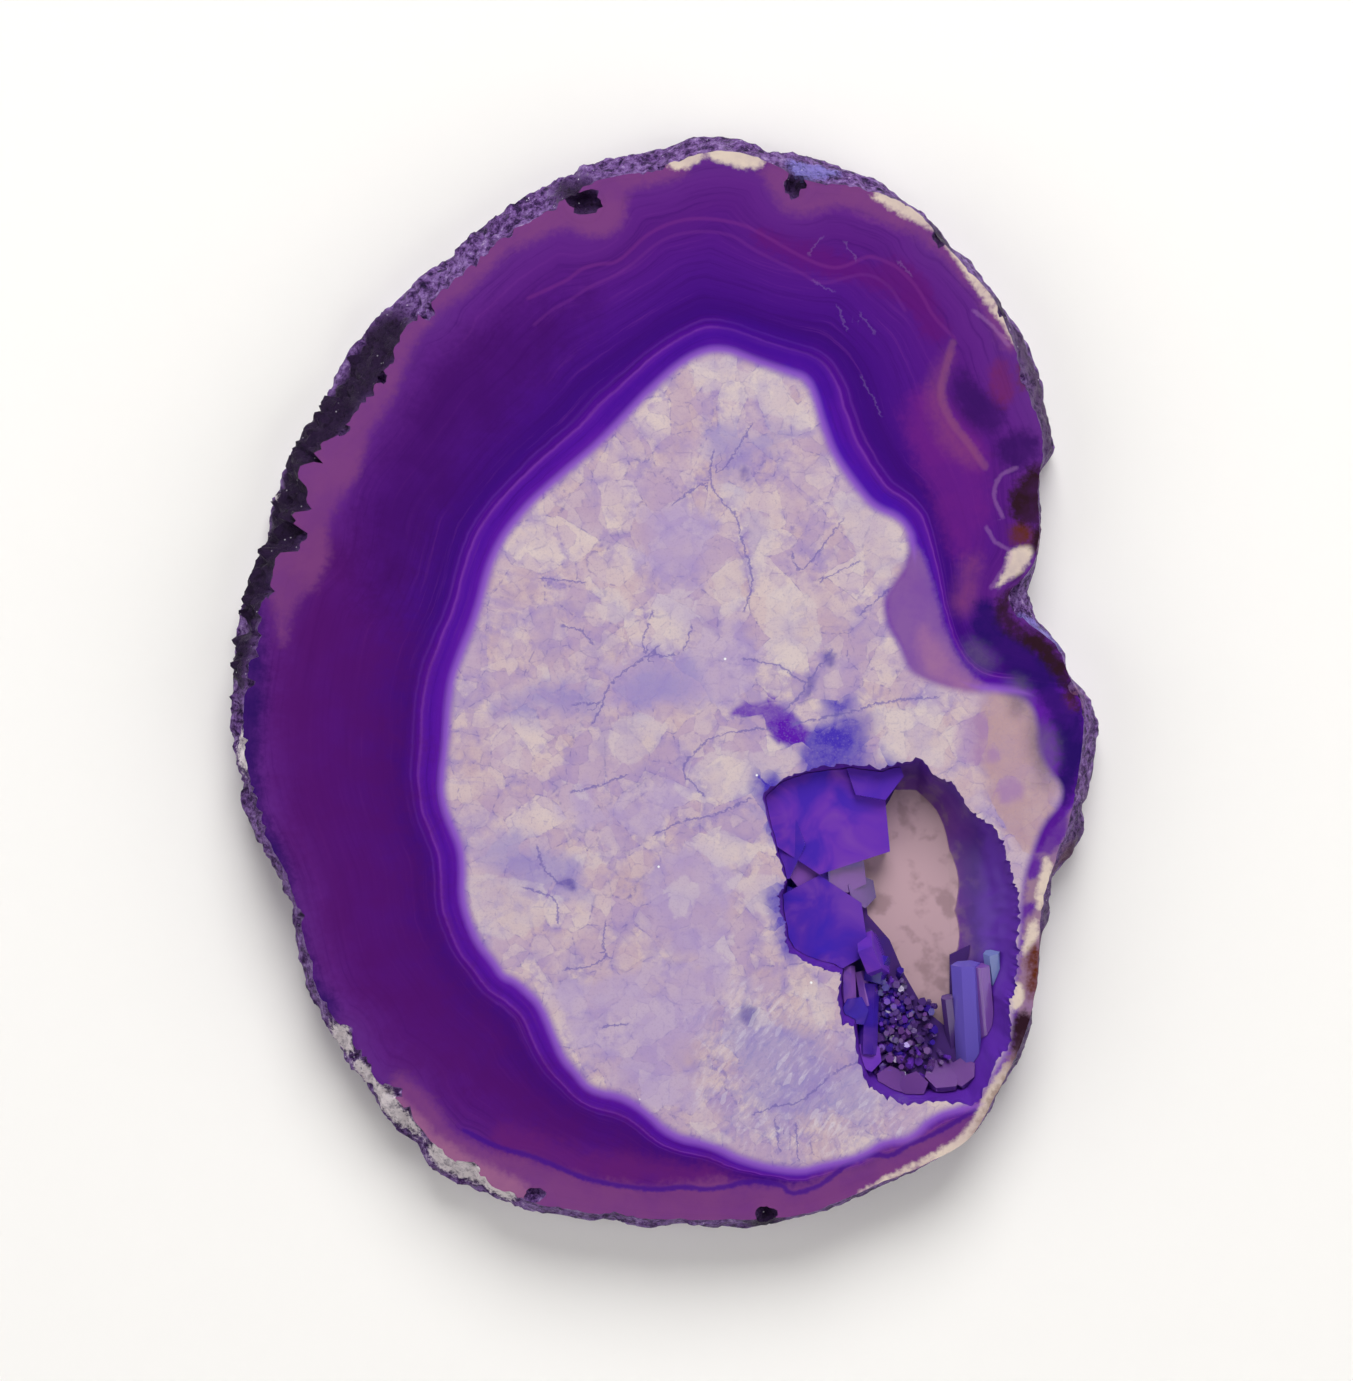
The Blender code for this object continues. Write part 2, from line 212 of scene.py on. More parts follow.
# The stone: a rough nodule, sawn flat above and below, pitted at its edge, with one open pocket.
stone = {
    "pointsRound": 720, "rowStep": 0.24 * mm, "spare": 0.7 * mm, "grid": 0.3 * mm,
    # the rind's relief, and its cycles per mm: lumps, ledges, grit, knobs, sugary crystals and bites
    "lump": 0.75 * mm, "grit": 0.25 * mm, "sugar": 0.11 * mm, "bite": 0.6 * mm, "overhang": 0.12 * mm,
    "lumpCycles": 0.42, "ledgeCycles": (0.9, 0.9, 1.6), "gritCycles": 1.7, "knobCycles": 1.35,
    "sugarCycles": 4.2, "biteCycles": (0.9, 2.3), "overhangCycles": 1.5,
    "leastRind": 0.1 * mm, "fullRind": 1.5 * mm,   # its least width, and the width for full relief
    "pitLumps": (1.1, 0.5), "pitGrit": (2.9, 0.3),   # a pit's cycles and how rough they make it
    "silhouette": [
        (565, 173), (600, 159), (640, 154), (674, 144), (700, 134), (719, 134), (740, 137),
        (765, 147), (801, 151), (840, 161), (880, 181), (920, 209), (939, 225), (953, 244),
        (970, 258), (986, 283), (1000, 300), (1021, 328), (1038, 361), (1047, 406),
        (1057, 449), (1046, 465), (1039, 473), (1039, 500), (1042, 542), (1036, 572),
        (1030, 591), (1035, 613), (1056, 639), (1066, 653), (1069, 674), (1093, 700),
        (1100, 721), (1095, 762), (1086, 803), (1086, 833), (1069, 859), (1053, 878),
        (1051, 912), (1041, 936), (1038, 968), (1031, 998), (1032, 1023), (1022, 1057),
        (1000, 1091), (996, 1106), (980, 1128), (949, 1149), (918, 1169), (858, 1198),
        (820, 1214), (761, 1226), (690, 1229), (620, 1224), (560, 1216), (484, 1196),
        (434, 1171), (416, 1146), (395, 1131), (373, 1106), (357, 1080), (339, 1046),
        (320, 1010), (306, 988), (296, 950), (291, 904), (277, 871), (254, 832), (240, 800),
        (239, 761), (231, 736), (232, 668), (231, 636), (243, 596), (266, 539), (269, 500),
        (285, 464), (306, 425), (324, 399), (336, 365), (375, 320), (410, 286), (450, 252),
        (490, 220), (530, 193)],
    "polishedEdge": [
        (569, 204), (588, 189), (610, 182), (659, 176), (674, 165), (717, 155), (755, 161),
        (778, 173), (806, 189), (844, 189), (888, 201), (920, 220), (940, 248), (970, 278),
        (996, 309), (1013, 357), (1024, 395), (1039, 436), (1041, 454), (1036, 473),
        (1034, 500), (1037, 545), (1028, 570), (1010, 590), (1009, 604), (1021, 623),
        (1044, 637), (1056, 649), (1064, 676), (1079, 702), (1079, 745), (1070, 800),
        (1058, 845), (1045, 875), (1036, 920), (1035, 980), (1026, 1020), (1010, 1060),
        (984, 1108), (964, 1139), (920, 1161), (864, 1185), (800, 1212), (745, 1214),
        (690, 1215), (620, 1211), (540, 1200), (500, 1185), (455, 1155), (425, 1128),
        (405, 1100), (372, 1070), (357, 1040), (335, 1012), (318, 985), (308, 940),
        (300, 900), (285, 860), (262, 815), (250, 765), (247, 715), (250, 687), (255, 660),
        (259, 633), (269, 593), (275, 577), (281, 557), (293, 549), (309, 541), (310, 532), (294, 528),
        (295, 517), (311, 503), (313, 490), (300, 480), (303, 467), (327, 463), (316, 455),
        (323, 447), (337, 440), (351, 423), (362, 412), (376, 393), (390, 370), (400, 350),
        (405, 333), (420, 320), (436, 303), (470, 272), (505, 240), (538, 224), (560, 206)],
    # height as a share of the thickness, way from silhouette to polished edge, draw-in in mm, roughness
    "profile": [(-0.2, 0, 0.6, 0), (0, 0, 0.45, 0.15), (0.07, 0, 0.15, 0.5), (0.24, 0, 0, 0.6),
                (0.44, 0.12, 0, 1), (0.64, 0.34, 0, 1), (0.83, 0.66, 0, 0.9), (0.95, 0.93, 0, 0.4),
                (1, 1, 0, 0.12), (1.2, 1.1, 0, 0.12)],
    # direction in degrees from +X, and how coarse the rind is there
    "coarse": [(-180, 1), (-135, 0.8), (-104, 0.6), (-80, 0.35), (-30, 0.4), (0, 0.35), (40, 0.35),
               (60, 0.4), (90, 0.5), (115, 0.8), (130, 1), (180, 1)],
    # middle in photo pixels, half sizes across and down, and depth, in mm
    "pits": [(586, 208, 1.1, 0.7, 0.6), (794, 190, 0.7, 0.75, 0.55), (938, 240, 0.45, 0.75, 0.5),
             (999, 313, 0.35, 0.6, 0.4), (427, 312, 0.6, 0.6, 0.6), (394, 1088, 0.7, 0.45, 0.5),
             (536, 1189, 0.7, 0.45, 0.5), (764, 1211, 0.65, 0.7, 0.6), (1016, 600, 0.7, 1.0, 0.7),
             (343, 1036, 0.9, 1.0, 0.5), (1074, 688, 0.6, 0.7, 0.5), (464, 1168, 1.3, 0.6, 0.5)],
    "chips": [(660, 171, 0.35, 0.3, 0.4), (905, 205, 0.35, 0.3, 0.4), (345, 432, 0.45, 0.4, 0.5),
              (384, 381, 0.4, 0.4, 0.5), (270, 590, 0.35, 0.45, 0.4), (1021, 380, 0.3, 0.5, 0.4)],
}

# The pocket: a jagged rim on the polished face, walls that slope to a smaller floor.
pocket = {
    "pointsRound": 420, "rows": 14, "depth": 3.3 * mm, "middle": (900, 930),
    # its relief and the cycles per mm: teeth at the rim, down to a share of its depth, and facets below
    "tooth": 0.24 * mm, "toothReach": 0.25, "stairCycles": 2.2, "toothCycles": 6,
    "facet": 0.16 * mm, "facetCycles": 0.9,
    "rim": [
        (762, 792), (785, 775), (825, 765), (880, 768), (901, 760), (919, 757), (930, 774),
        (950, 781), (967, 809), (993, 827), (1008, 865), (1016, 897), (1014, 938),
        (1006, 1003), (1008, 1041), (993, 1059), (972, 1101), (937, 1097), (902, 1100),
        (867, 1084), (857, 1059), (852, 1023), (840, 1019), (840, 971), (820, 965),
        (786, 948), (783, 925), (777, 893), (785, 880), (780, 862), (770, 830)],
    "floor": [
        (785, 808), (850, 787), (899, 792), (917, 792), (937, 812), (949, 853), (953, 912),
        (952, 960), (968, 1000), (962, 1050), (945, 1080), (905, 1084), (872, 1060),
        (862, 1010), (850, 955), (800, 935), (798, 900), (792, 850)],
    "profile": [(0, 0), (0.3, 0.16), (0.62, 0.42), (0.86, 0.72), (1, 1)],   # depth, way to the floor
    "window": [   # where the bare quartz of its floor shows
        (899, 792), (917, 792), (926, 802), (937, 812), (946, 827), (949, 853), (952, 883), (953, 912),
        (952, 938), (946, 968), (937, 991), (926, 997), (917, 985), (893, 968), (884, 906), (873, 886),
        (864, 859), (870, 842), (876, 821), (887, 803)],
}


def rindPush(spot):   # the rind's lumps, ledges and grit at a point in mm, outwards, in metres
    lump = noise.noise(spot * stone["lumpCycles"])
    ledge = abs(noise.noise(spot * Vector(stone["ledgeCycles"]) + Vector((40, 0, 0)))) * 2 - 0.5
    grit = noise.noise(spot * stone["gritCycles"] + Vector((0, 70, 0)))
    cells = noise.voronoi(spot * stone["knobCycles"])[0]
    knob = 0.35 - cells[0] + 0.5 * min(cells[1] - cells[0], 0.3)
    sugar = noise.noise(spot * stone["sugarCycles"] + Vector((0, 0, 30)))
    return (stone["lump"] * (lump + 0.5 * ledge) + stone["grit"] * (grit + 1.3 * knob)
            + stone["sugar"] * sugar)


def addNodule(material):
    spare, step = stone["spare"], stone["rowStep"]
    bpy.ops.mesh.primitive_cylinder_add(vertices=stone["pointsRound"], radius=30 * mm,
                                        depth=thickness + 2 * spare,
                                        location=(0, 0, thickness / 2), end_fill_type="NGON")
    nodule = bpy.context.object
    bpy.ops.object.transform_apply(location=True)
    bisectRows(nodule, np.arange(step / 2, thickness, step))
    heights, shares, drawIns, roughs = zip(*stone["profile"])
    angles = [math.atan2(v.co.y, v.co.x) for v in nodule.data.vertices]
    outer = radiusAt(stone["silhouette"], (middleX, middleY), angles)
    inner = radiusAt(rounded(stone["polishedEdge"]), (middleX, middleY), angles)
    inner = np.minimum(inner, outer - stone["leastRind"])
    ways, coarseness = zip(*stone["coarse"])
    coarse = np.interp(np.degrees(angles), ways, coarseness)
    largeBites, smallBites = stone["biteCycles"]
    for vert, angle, out, face, coarseHere in zip(nodule.data.vertices, angles, outer, inner, coarse):
        level = vert.co.z / thickness
        share, drawIn, rough = (np.interp(level, heights, row) for row in (shares, drawIns, roughs))
        radius = out + (face - out) * share - drawIn * mm
        ray = Vector((math.cos(angle), math.sin(angle), 0))
        room = coarseHere * (0.5 + min(1.0, (out - face) / stone["fullRind"]))
        push = rindPush((ray * radius + Vector((0, 0, vert.co.z))) / mm) * rough * room
        beyond = stone["overhang"] * noise.noise(ray * radius * (stone["overhangCycles"] / mm))
        radius = min(radius + push, out + beyond)
        bite = noise.noise(ray * out / mm * largeBites) + 0.7 * noise.noise(ray * out / mm * smallBites)
        radius -= stone["bite"] * share * room * max(0, bite - 0.05)
        vert.co = ray * radius + Vector((0, 0, vert.co.z))
    nodule.data.materials.append(material)
    return nodule


def addSlab(material):   # two flat gridded faces, which the saw leaves on the nodule
    wide, long = stoneHigh.x - stoneLow.x + 4 * mm, stoneHigh.y - stoneLow.y + 4 * mm
    bpy.ops.mesh.primitive_grid_add(x_subdivisions=round(wide / stone["grid"]),
                                    y_subdivisions=round(long / stone["grid"]), size=1)
    slab = bpy.context.object
    slab.scale = (wide, long, 1)
    bpy.ops.object.transform_apply(scale=True)
    bpy.ops.object.mode_set(mode="EDIT")
    bpy.ops.mesh.select_all(action="SELECT")
    bpy.ops.mesh.extrude_region_move(TRANSFORM_OT_translate={"value": (0, 0, thickness)})
    bpy.ops.mesh.select_all(action="SELECT")
    bpy.ops.mesh.normals_make_consistent(inside=False)
    bpy.ops.object.mode_set(mode="OBJECT")
    slab.data.materials.append(material)
    return slab


def addPits(material, rows):   # rough balls, half sunk in the polished face
    made = []
    (lumpCycles, lumps), (gritCycles, grits) = stone["pitLumps"], stone["pitGrit"]
    for number, (px, py, across, down, depth) in enumerate(rows):
        bpy.ops.mesh.primitive_ico_sphere_add(subdivisions=3, radius=1)
        pit = bpy.context.object
        x, y = place(px, py)
        turn = Matrix.Rotation(number * 1.9, 3, "Z")
        for vert in pit.data.vertices:
            rough = 1 + lumps * noise.noise(vert.co * lumpCycles + Vector((number * 7, 0, 0)))
            rough += grits * noise.noise(vert.co * gritCycles + Vector((0, number * 5, 0)))
            reach = turn @ vert.co * Vector((across, down, depth)) * mm * rough
            vert.co = Vector((x, y, thickness)) + reach
        made.append(pit)
    deselectAll()
    for pit in made:
        pit.select_set(True)
    bpy.context.view_layer.objects.active = made[0]
    bpy.ops.object.join()
    made[0].data.materials.append(material)
    return made[0]


def addPocket(material, inset, top, depth):   # the pocket's space as a solid, to cut with
    rows = pocket["rows"]
    bottom = thickness - depth
    bpy.ops.mesh.primitive_cylinder_add(vertices=pocket["pointsRound"], radius=10 * mm,
                                        depth=top - bottom, location=(0, 0, (top + bottom) / 2),
                                        end_fill_type="NGON")
    space = bpy.context.object
    bpy.ops.object.transform_apply(location=True)
    bisectRows(space, [bottom + depth * (row + 0.5) / rows for row in range(rows)])
    cx, cy = place(*pocket["middle"])
    depths, ways = zip(*pocket["profile"])
    angles = [math.atan2(v.co.y, v.co.x) for v in space.data.vertices]
    rims = radiusAt(pocket["rim"], pocket["middle"], angles)
    floors = radiusAt(pocket["floor"], pocket["middle"], angles)
    for vert, angle, rim, floor in zip(space.data.vertices, angles, rims, floors):
        down = min(1.0, max(0.0, (thickness - vert.co.z) / depth))
        ray = Vector((math.cos(angle), math.sin(angle), 0))
        spot = ray * rim / mm
        stair = round(noise.noise(spot * pocket["stairCycles"]) * 3) / 3
        tooth = stair + 0.9 * noise.noise(spot * pocket["toothCycles"])
        facet = abs(noise.noise((spot + Vector((0, 0, vert.co.z / mm))) * pocket["facetCycles"])) - 0.2
        radius = rim + (floor - rim) * np.interp(down, depths, ways) - inset
        radius += (pocket["tooth"] * tooth * max(0, 1 - down / pocket["toothReach"])
                   + pocket["facet"] * facet * math.sin(down * math.pi))
        vert.co = Vector((cx, cy, vert.co.z)) + ray * radius
    space.data.materials.append(material)
    return space


# Markings: outlines and lines in photo pixels, from the rim inwards.
clearEdge = {   # where the bands meet the quartz, below and to the left, and then above
    "lower": [
        (961, 1103), (931, 1111), (908, 1135), (882, 1136), (858, 1152), (821, 1160), (795, 1167),
        (743, 1156), (711, 1139), (671, 1131), (643, 1103), (620, 1091), (602, 1088), (588, 1082),
        (578, 1069), (565, 1055), (556, 1034), (548, 1014), (541, 1000), (530, 989), (517, 977),
        (505, 973), (495, 957), (481, 941), (472, 920), (465, 896), (466, 868), (464, 846),
        (456, 828), (447, 806), (444, 784), (449, 743), (452, 689), (463, 655), (479, 618),
        (495, 554), (525, 512), (560, 480), (600, 447), (630, 415), (653, 391), (689, 360)],
    "upper": [
        (721, 351), (755, 365), (788, 376), (804, 381), (812, 395), (820, 425), (832, 458),
        (855, 490), (872, 510), (899, 520)],
}
bands = {   # what the bands wrap: the quartz, and right of it the stretch with no bands
    "core": [(1120, 690), (1120, 1110), (990, 1105)] + clearEdge["lower"] + clearEdge["upper"] + [
        (912, 545), (922, 575), (930, 610), (940, 645), (955, 672), (978, 688), (1005, 690)],
    "quartz": clearEdge["upper"] + [
        (910, 539), (908, 566), (893, 586), (885, 600), (885, 614), (890, 630), (900, 645),
        (906, 662), (914, 674), (946, 686), (974, 690), (990, 688), (1024, 695), (1037, 716),
        (1038, 750), (1050, 770), (1062, 785), (1059, 805), (1042, 822), (1030, 855), (1022, 880),
        (1019, 930), (1012, 1000), (1010, 1045), (990, 1075), (975, 1100)] + clearEdge["lower"],
    "lineStart": 0.36, "lineSlope": 0.098, "lineShare": 0.12,   # where the pale line runs, mm and shares
}

# Each of these is a tint on the polished faces: its hex colour, strength, the softness of its edge
# and how far that edge wanders, in mm, and its outlines. Later ones lie over earlier ones.
ringTints = {
    "plumLeft": ("4B0F5E", 0.75, 6.0, 1.5, [[(290, 520), (350, 520), (405, 600), (412, 700), (415, 800),
        (430, 880), (470, 980), (540, 1060), (640, 1140), (720, 1170), (640, 1180), (500, 1130),
        (400, 1060), (330, 980), (285, 860), (262, 760), (262, 640)]]),
    "plumDark": ("3A0A5A", 0.7, 4.0, 1.0, [[(425, 375), (445, 350), (500, 325), (560, 300), (600, 300),
        (575, 350), (530, 400), (490, 445), (455, 510), (425, 580), (395, 620), (360, 600), (355, 520),
        (385, 450)]]),
    "plumBottom": ("64206C", 0.6, 1.4, 0.5, [[(500, 1110), (560, 1140), (620, 1150), (700, 1160),
        (760, 1172), (740, 1185), (640, 1182), (560, 1168), (490, 1150)]]),
    "plumTop": ("5C1268", 0.55, 1.0, 0.6, [[(755, 232), (800, 245), (860, 268), (905, 262), (935, 300),
        (948, 340), (925, 345), (900, 300), (850, 285), (800, 275), (755, 250)]]),
    "plumRight": ("6A1F7C", 0.7, 1.6, 0.5, [[(905, 390), (950, 400), (985, 450), (985, 520), (975, 560),
        (950, 560), (935, 520), (920, 470), (900, 430)]]),
    "indigoTop": ("360C84", 0.5, 1.2, 0.3, [[(600, 420), (650, 372), (700, 332), (725, 322), (760, 330),
        (815, 350), (840, 400), (818, 405), (800, 382), (755, 370), (721, 355), (689, 364), (653, 395),
        (615, 434)]]),
    "blueViolet": ("3C10A0", 0.6, 0.9, 0.3, [[(780, 366), (812, 378), (832, 425), (862, 480), (905, 512),
        (924, 555), (940, 610), (930, 612), (914, 560), (898, 522), (868, 508), (842, 480), (820, 435),
        (805, 395), (785, 378)]]),
    "roseStreak": ("84406E", 0.6, 1.6, 0.3, [[(950, 352), (942, 385), (940, 405), (957, 440), (978, 468),
        (960, 468), (936, 440), (925, 410), (930, 372)], [(960, 560), (978, 556), (974, 590), (966, 618),
        (950, 612), (952, 590)]]),
    "navyRim": ("1E0C56", 0.8, 1.3, 0.5, [[(240, 600), (266, 600), (270, 680), (262, 760), (270, 820),
        (292, 862), (302, 905), (310, 950), (325, 985), (348, 1005), (330, 1025), (300, 990),
        (280, 950), (275, 900), (255, 860), (235, 820), (225, 760), (225, 640)]]),
    "indigoClouds": ("321058", 0.85, 1.2, 0.5, [[(946, 384), (958, 366), (975, 392), (1002, 408),
        (1000, 438), (968, 432), (950, 410)], [(993, 438), (1031, 430), (1038, 462), (1012, 472),
        (995, 458)]]),
    "wineCloud": ("6E2450", 0.6, 1.0, 0.4, [[(990, 366), (1006, 362), (1012, 395), (1000, 412),
        (986, 396)]]),
    "inkBlue": ("260E5E", 1.0, 0.9, 0.4, [[(974, 600), (992, 600), (1002, 630), (1030, 645), (1050, 665),
        (1066, 700), (1080, 712), (1082, 745), (1072, 795), (1058, 815), (1052, 785), (1056, 745),
        (1042, 712), (1030, 690), (1008, 680), (990, 655), (966, 634)], [(1036, 818), (1052, 806),
        (1064, 812), (1058, 845), (1040, 852), (1030, 840)]]),
    "mauveLobe": ("835A98", 0.9, 0.6, 0.15, [[(912, 540), (905, 566), (892, 586), (885, 598),
        (884, 615), (889, 629), (899, 643), (903, 660), (910, 678), (940, 694), (974, 702),
        (1000, 692), (980, 686), (962, 668), (948, 645), (937, 610), (928, 575)]]),
    "roseLobe": ("A06E92", 0.65, 1.2, 0.2, [[(918, 622), (934, 640), (955, 672), (982, 688), (960, 696),
        (930, 680), (912, 655)]]),
    "greenGlow": ("6B6070", 0.55, 1.6, 0.3, [
        [(962, 642), (975, 646), (996, 660), (985, 672), (966, 664)],
        [(1003, 682), (1018, 676), (1028, 700), (1018, 716), (1006, 706)],
        [(1033, 722), (1050, 730), (1054, 760), (1042, 772), (1032, 750)]]),
    "mauveRim": ("7A4078", 0.78, 1.0, 0.35, [[(690, 178), (665, 185), (640, 192), (627, 203), (628, 222),
        (612, 240), (588, 241), (566, 231), (545, 238), (525, 250), (500, 262), (478, 292), (455, 305),
        (428, 330), (412, 352), (397, 400), (372, 438), (360, 480), (339, 512), (331, 532), (332, 562),
        (322, 588), (307, 598), (295, 616), (290, 648), (282, 640), (276, 590), (240, 560), (260, 440),
        (330, 330), (440, 240), (560, 160), (690, 150)], [(757, 165), (768, 195), (778, 214), (795, 223),
        (815, 216), (835, 210), (870, 222), (905, 235), (940, 262), (965, 290), (990, 330), (1006, 360),
        (1020, 340), (960, 240), (880, 180), (800, 170)], [(395, 1066), (425, 1082), (442, 1105),
        (455, 1125), (480, 1138), (500, 1150), (529, 1150), (560, 1163), (600, 1177), (640, 1182),
        (690, 1178), (730, 1174), (790, 1184), (830, 1167), (870, 1150), (930, 1125), (965, 1105),
        (990, 1080), (1010, 1060), (990, 1130), (930, 1180), (860, 1205), (790, 1235), (690, 1240),
        (560, 1230), (470, 1200), (420, 1160), (385, 1110)]]),
    "roseRim": ("9A6486", 0.75, 0.9, 0.3, [[(395, 1085), (420, 1110), (445, 1135), (475, 1153),
        (510, 1170), (540, 1184), (530, 1210), (480, 1195), (430, 1155), (390, 1112)]]),
    "dustyRight": ("957688", 0.9, 0.5, 0.3, [[(1060, 812), (1078, 800), (1054, 880), (1042, 920),
        (1038, 1000), (1024, 1060), (1000, 1110), (984, 1100), (992, 1075), (1010, 1045), (1013, 1000),
        (1020, 930), (1022, 880), (1034, 850)]]),
    "grapeBlobs": ("561A90", 0.92, 0.5, 0.2, [[(1028, 838), (1034, 812), (1052, 805), (1066, 812),
        (1062, 838), (1048, 854), (1032, 852)], [(1022, 868), (1030, 855), (1039, 858), (1037, 873),
        (1026, 878)], [(1014, 920), (1018, 903), (1033, 898), (1030, 910)], [(1006, 1000), (1014, 995),
        (1013, 1042), (1004, 1045)]]),
    "cream": ("D3C2B4", 1.0, 0.4, 0.25, [[(666, 172), (672, 160), (684, 152), (700, 154), (705, 163),
        (696, 170), (680, 175)], [(705, 156), (720, 150), (735, 152), (750, 151), (764, 160), (765, 171),
        (746, 174), (728, 170), (712, 166)], [(866, 199), (887, 197), (912, 210), (931, 226), (934, 240),
        (918, 230), (896, 218), (878, 207)], [(938, 246), (955, 256), (974, 280), (991, 301),
        (1006, 326), (1014, 350), (1008, 345), (996, 324), (980, 306), (966, 284), (948, 258)],
        [(1004, 553),
        (1017, 546), (1029, 548), (1028, 560), (1016, 575), (1000, 584), (992, 592), (994, 582),
        (1003, 566)], [(1042, 850), (1050, 866), (1044, 890), (1038, 908), (1032, 902), (1036, 876)],
        [(1032, 912), (1036, 930), (1025, 949), (1017, 956), (1021, 935)], [(1011, 979), (1021, 984),
        (1019, 1004), (1007, 1009), (1008, 994)], [(1006, 1054), (1010, 1066), (996, 1096), (987, 1119),
        (969, 1141), (941, 1152), (905, 1167), (870, 1183), (850, 1190), (880, 1174), (925, 1151),
        (950, 1137), (966, 1119), (979, 1097), (991, 1073)]]),
    "sienna": ("5A2A16", 1.0, 0.8, 0.4, [[(1005, 530), (1012, 523), (1030, 529), (1029, 545),
        (1012, 548), (1004, 540)], [(1059, 692), (1067, 688), (1073, 700), (1071, 712), (1061, 708)],
        [(1034, 940), (1036, 960), (1035, 985), (1027, 1000), (1023, 985), (1027, 970), (1022, 958),
         (1026, 946)], [(1013, 368), (1020, 372), (1024, 392), (1017, 390)]]),
    "umber": ("2C1622", 1.0, 0.8, 0.45, [[(1035, 462), (1041, 480), (1041, 545), (1036, 560),
        (1029, 548), (1032, 528), (1010, 522), (1006, 508), (1012, 488), (1024, 478)],
        [(1022, 574), (1004, 590), (993, 601), (991, 618), (1000, 634), (1018, 645), (1036, 656),
         (1047, 673), (1058, 692), (1068, 708), (1078, 706), (1068, 680), (1060, 660), (1046, 644),
         (1026, 630), (1010, 620), (1006, 605), (1012, 590)], [(1012, 1012), (1026, 1006), (1034, 1030),
         (1022, 1060), (1010, 1058), (1006, 1035)]]),
    "barkLow": ("7A5E5C", 0.75, 0.8, 0.5, [[(1018, 1050), (1008, 1082), (992, 1112), (972, 1136),
        (964, 1130), (982, 1102), (996, 1076), (1006, 1052)]]),
}

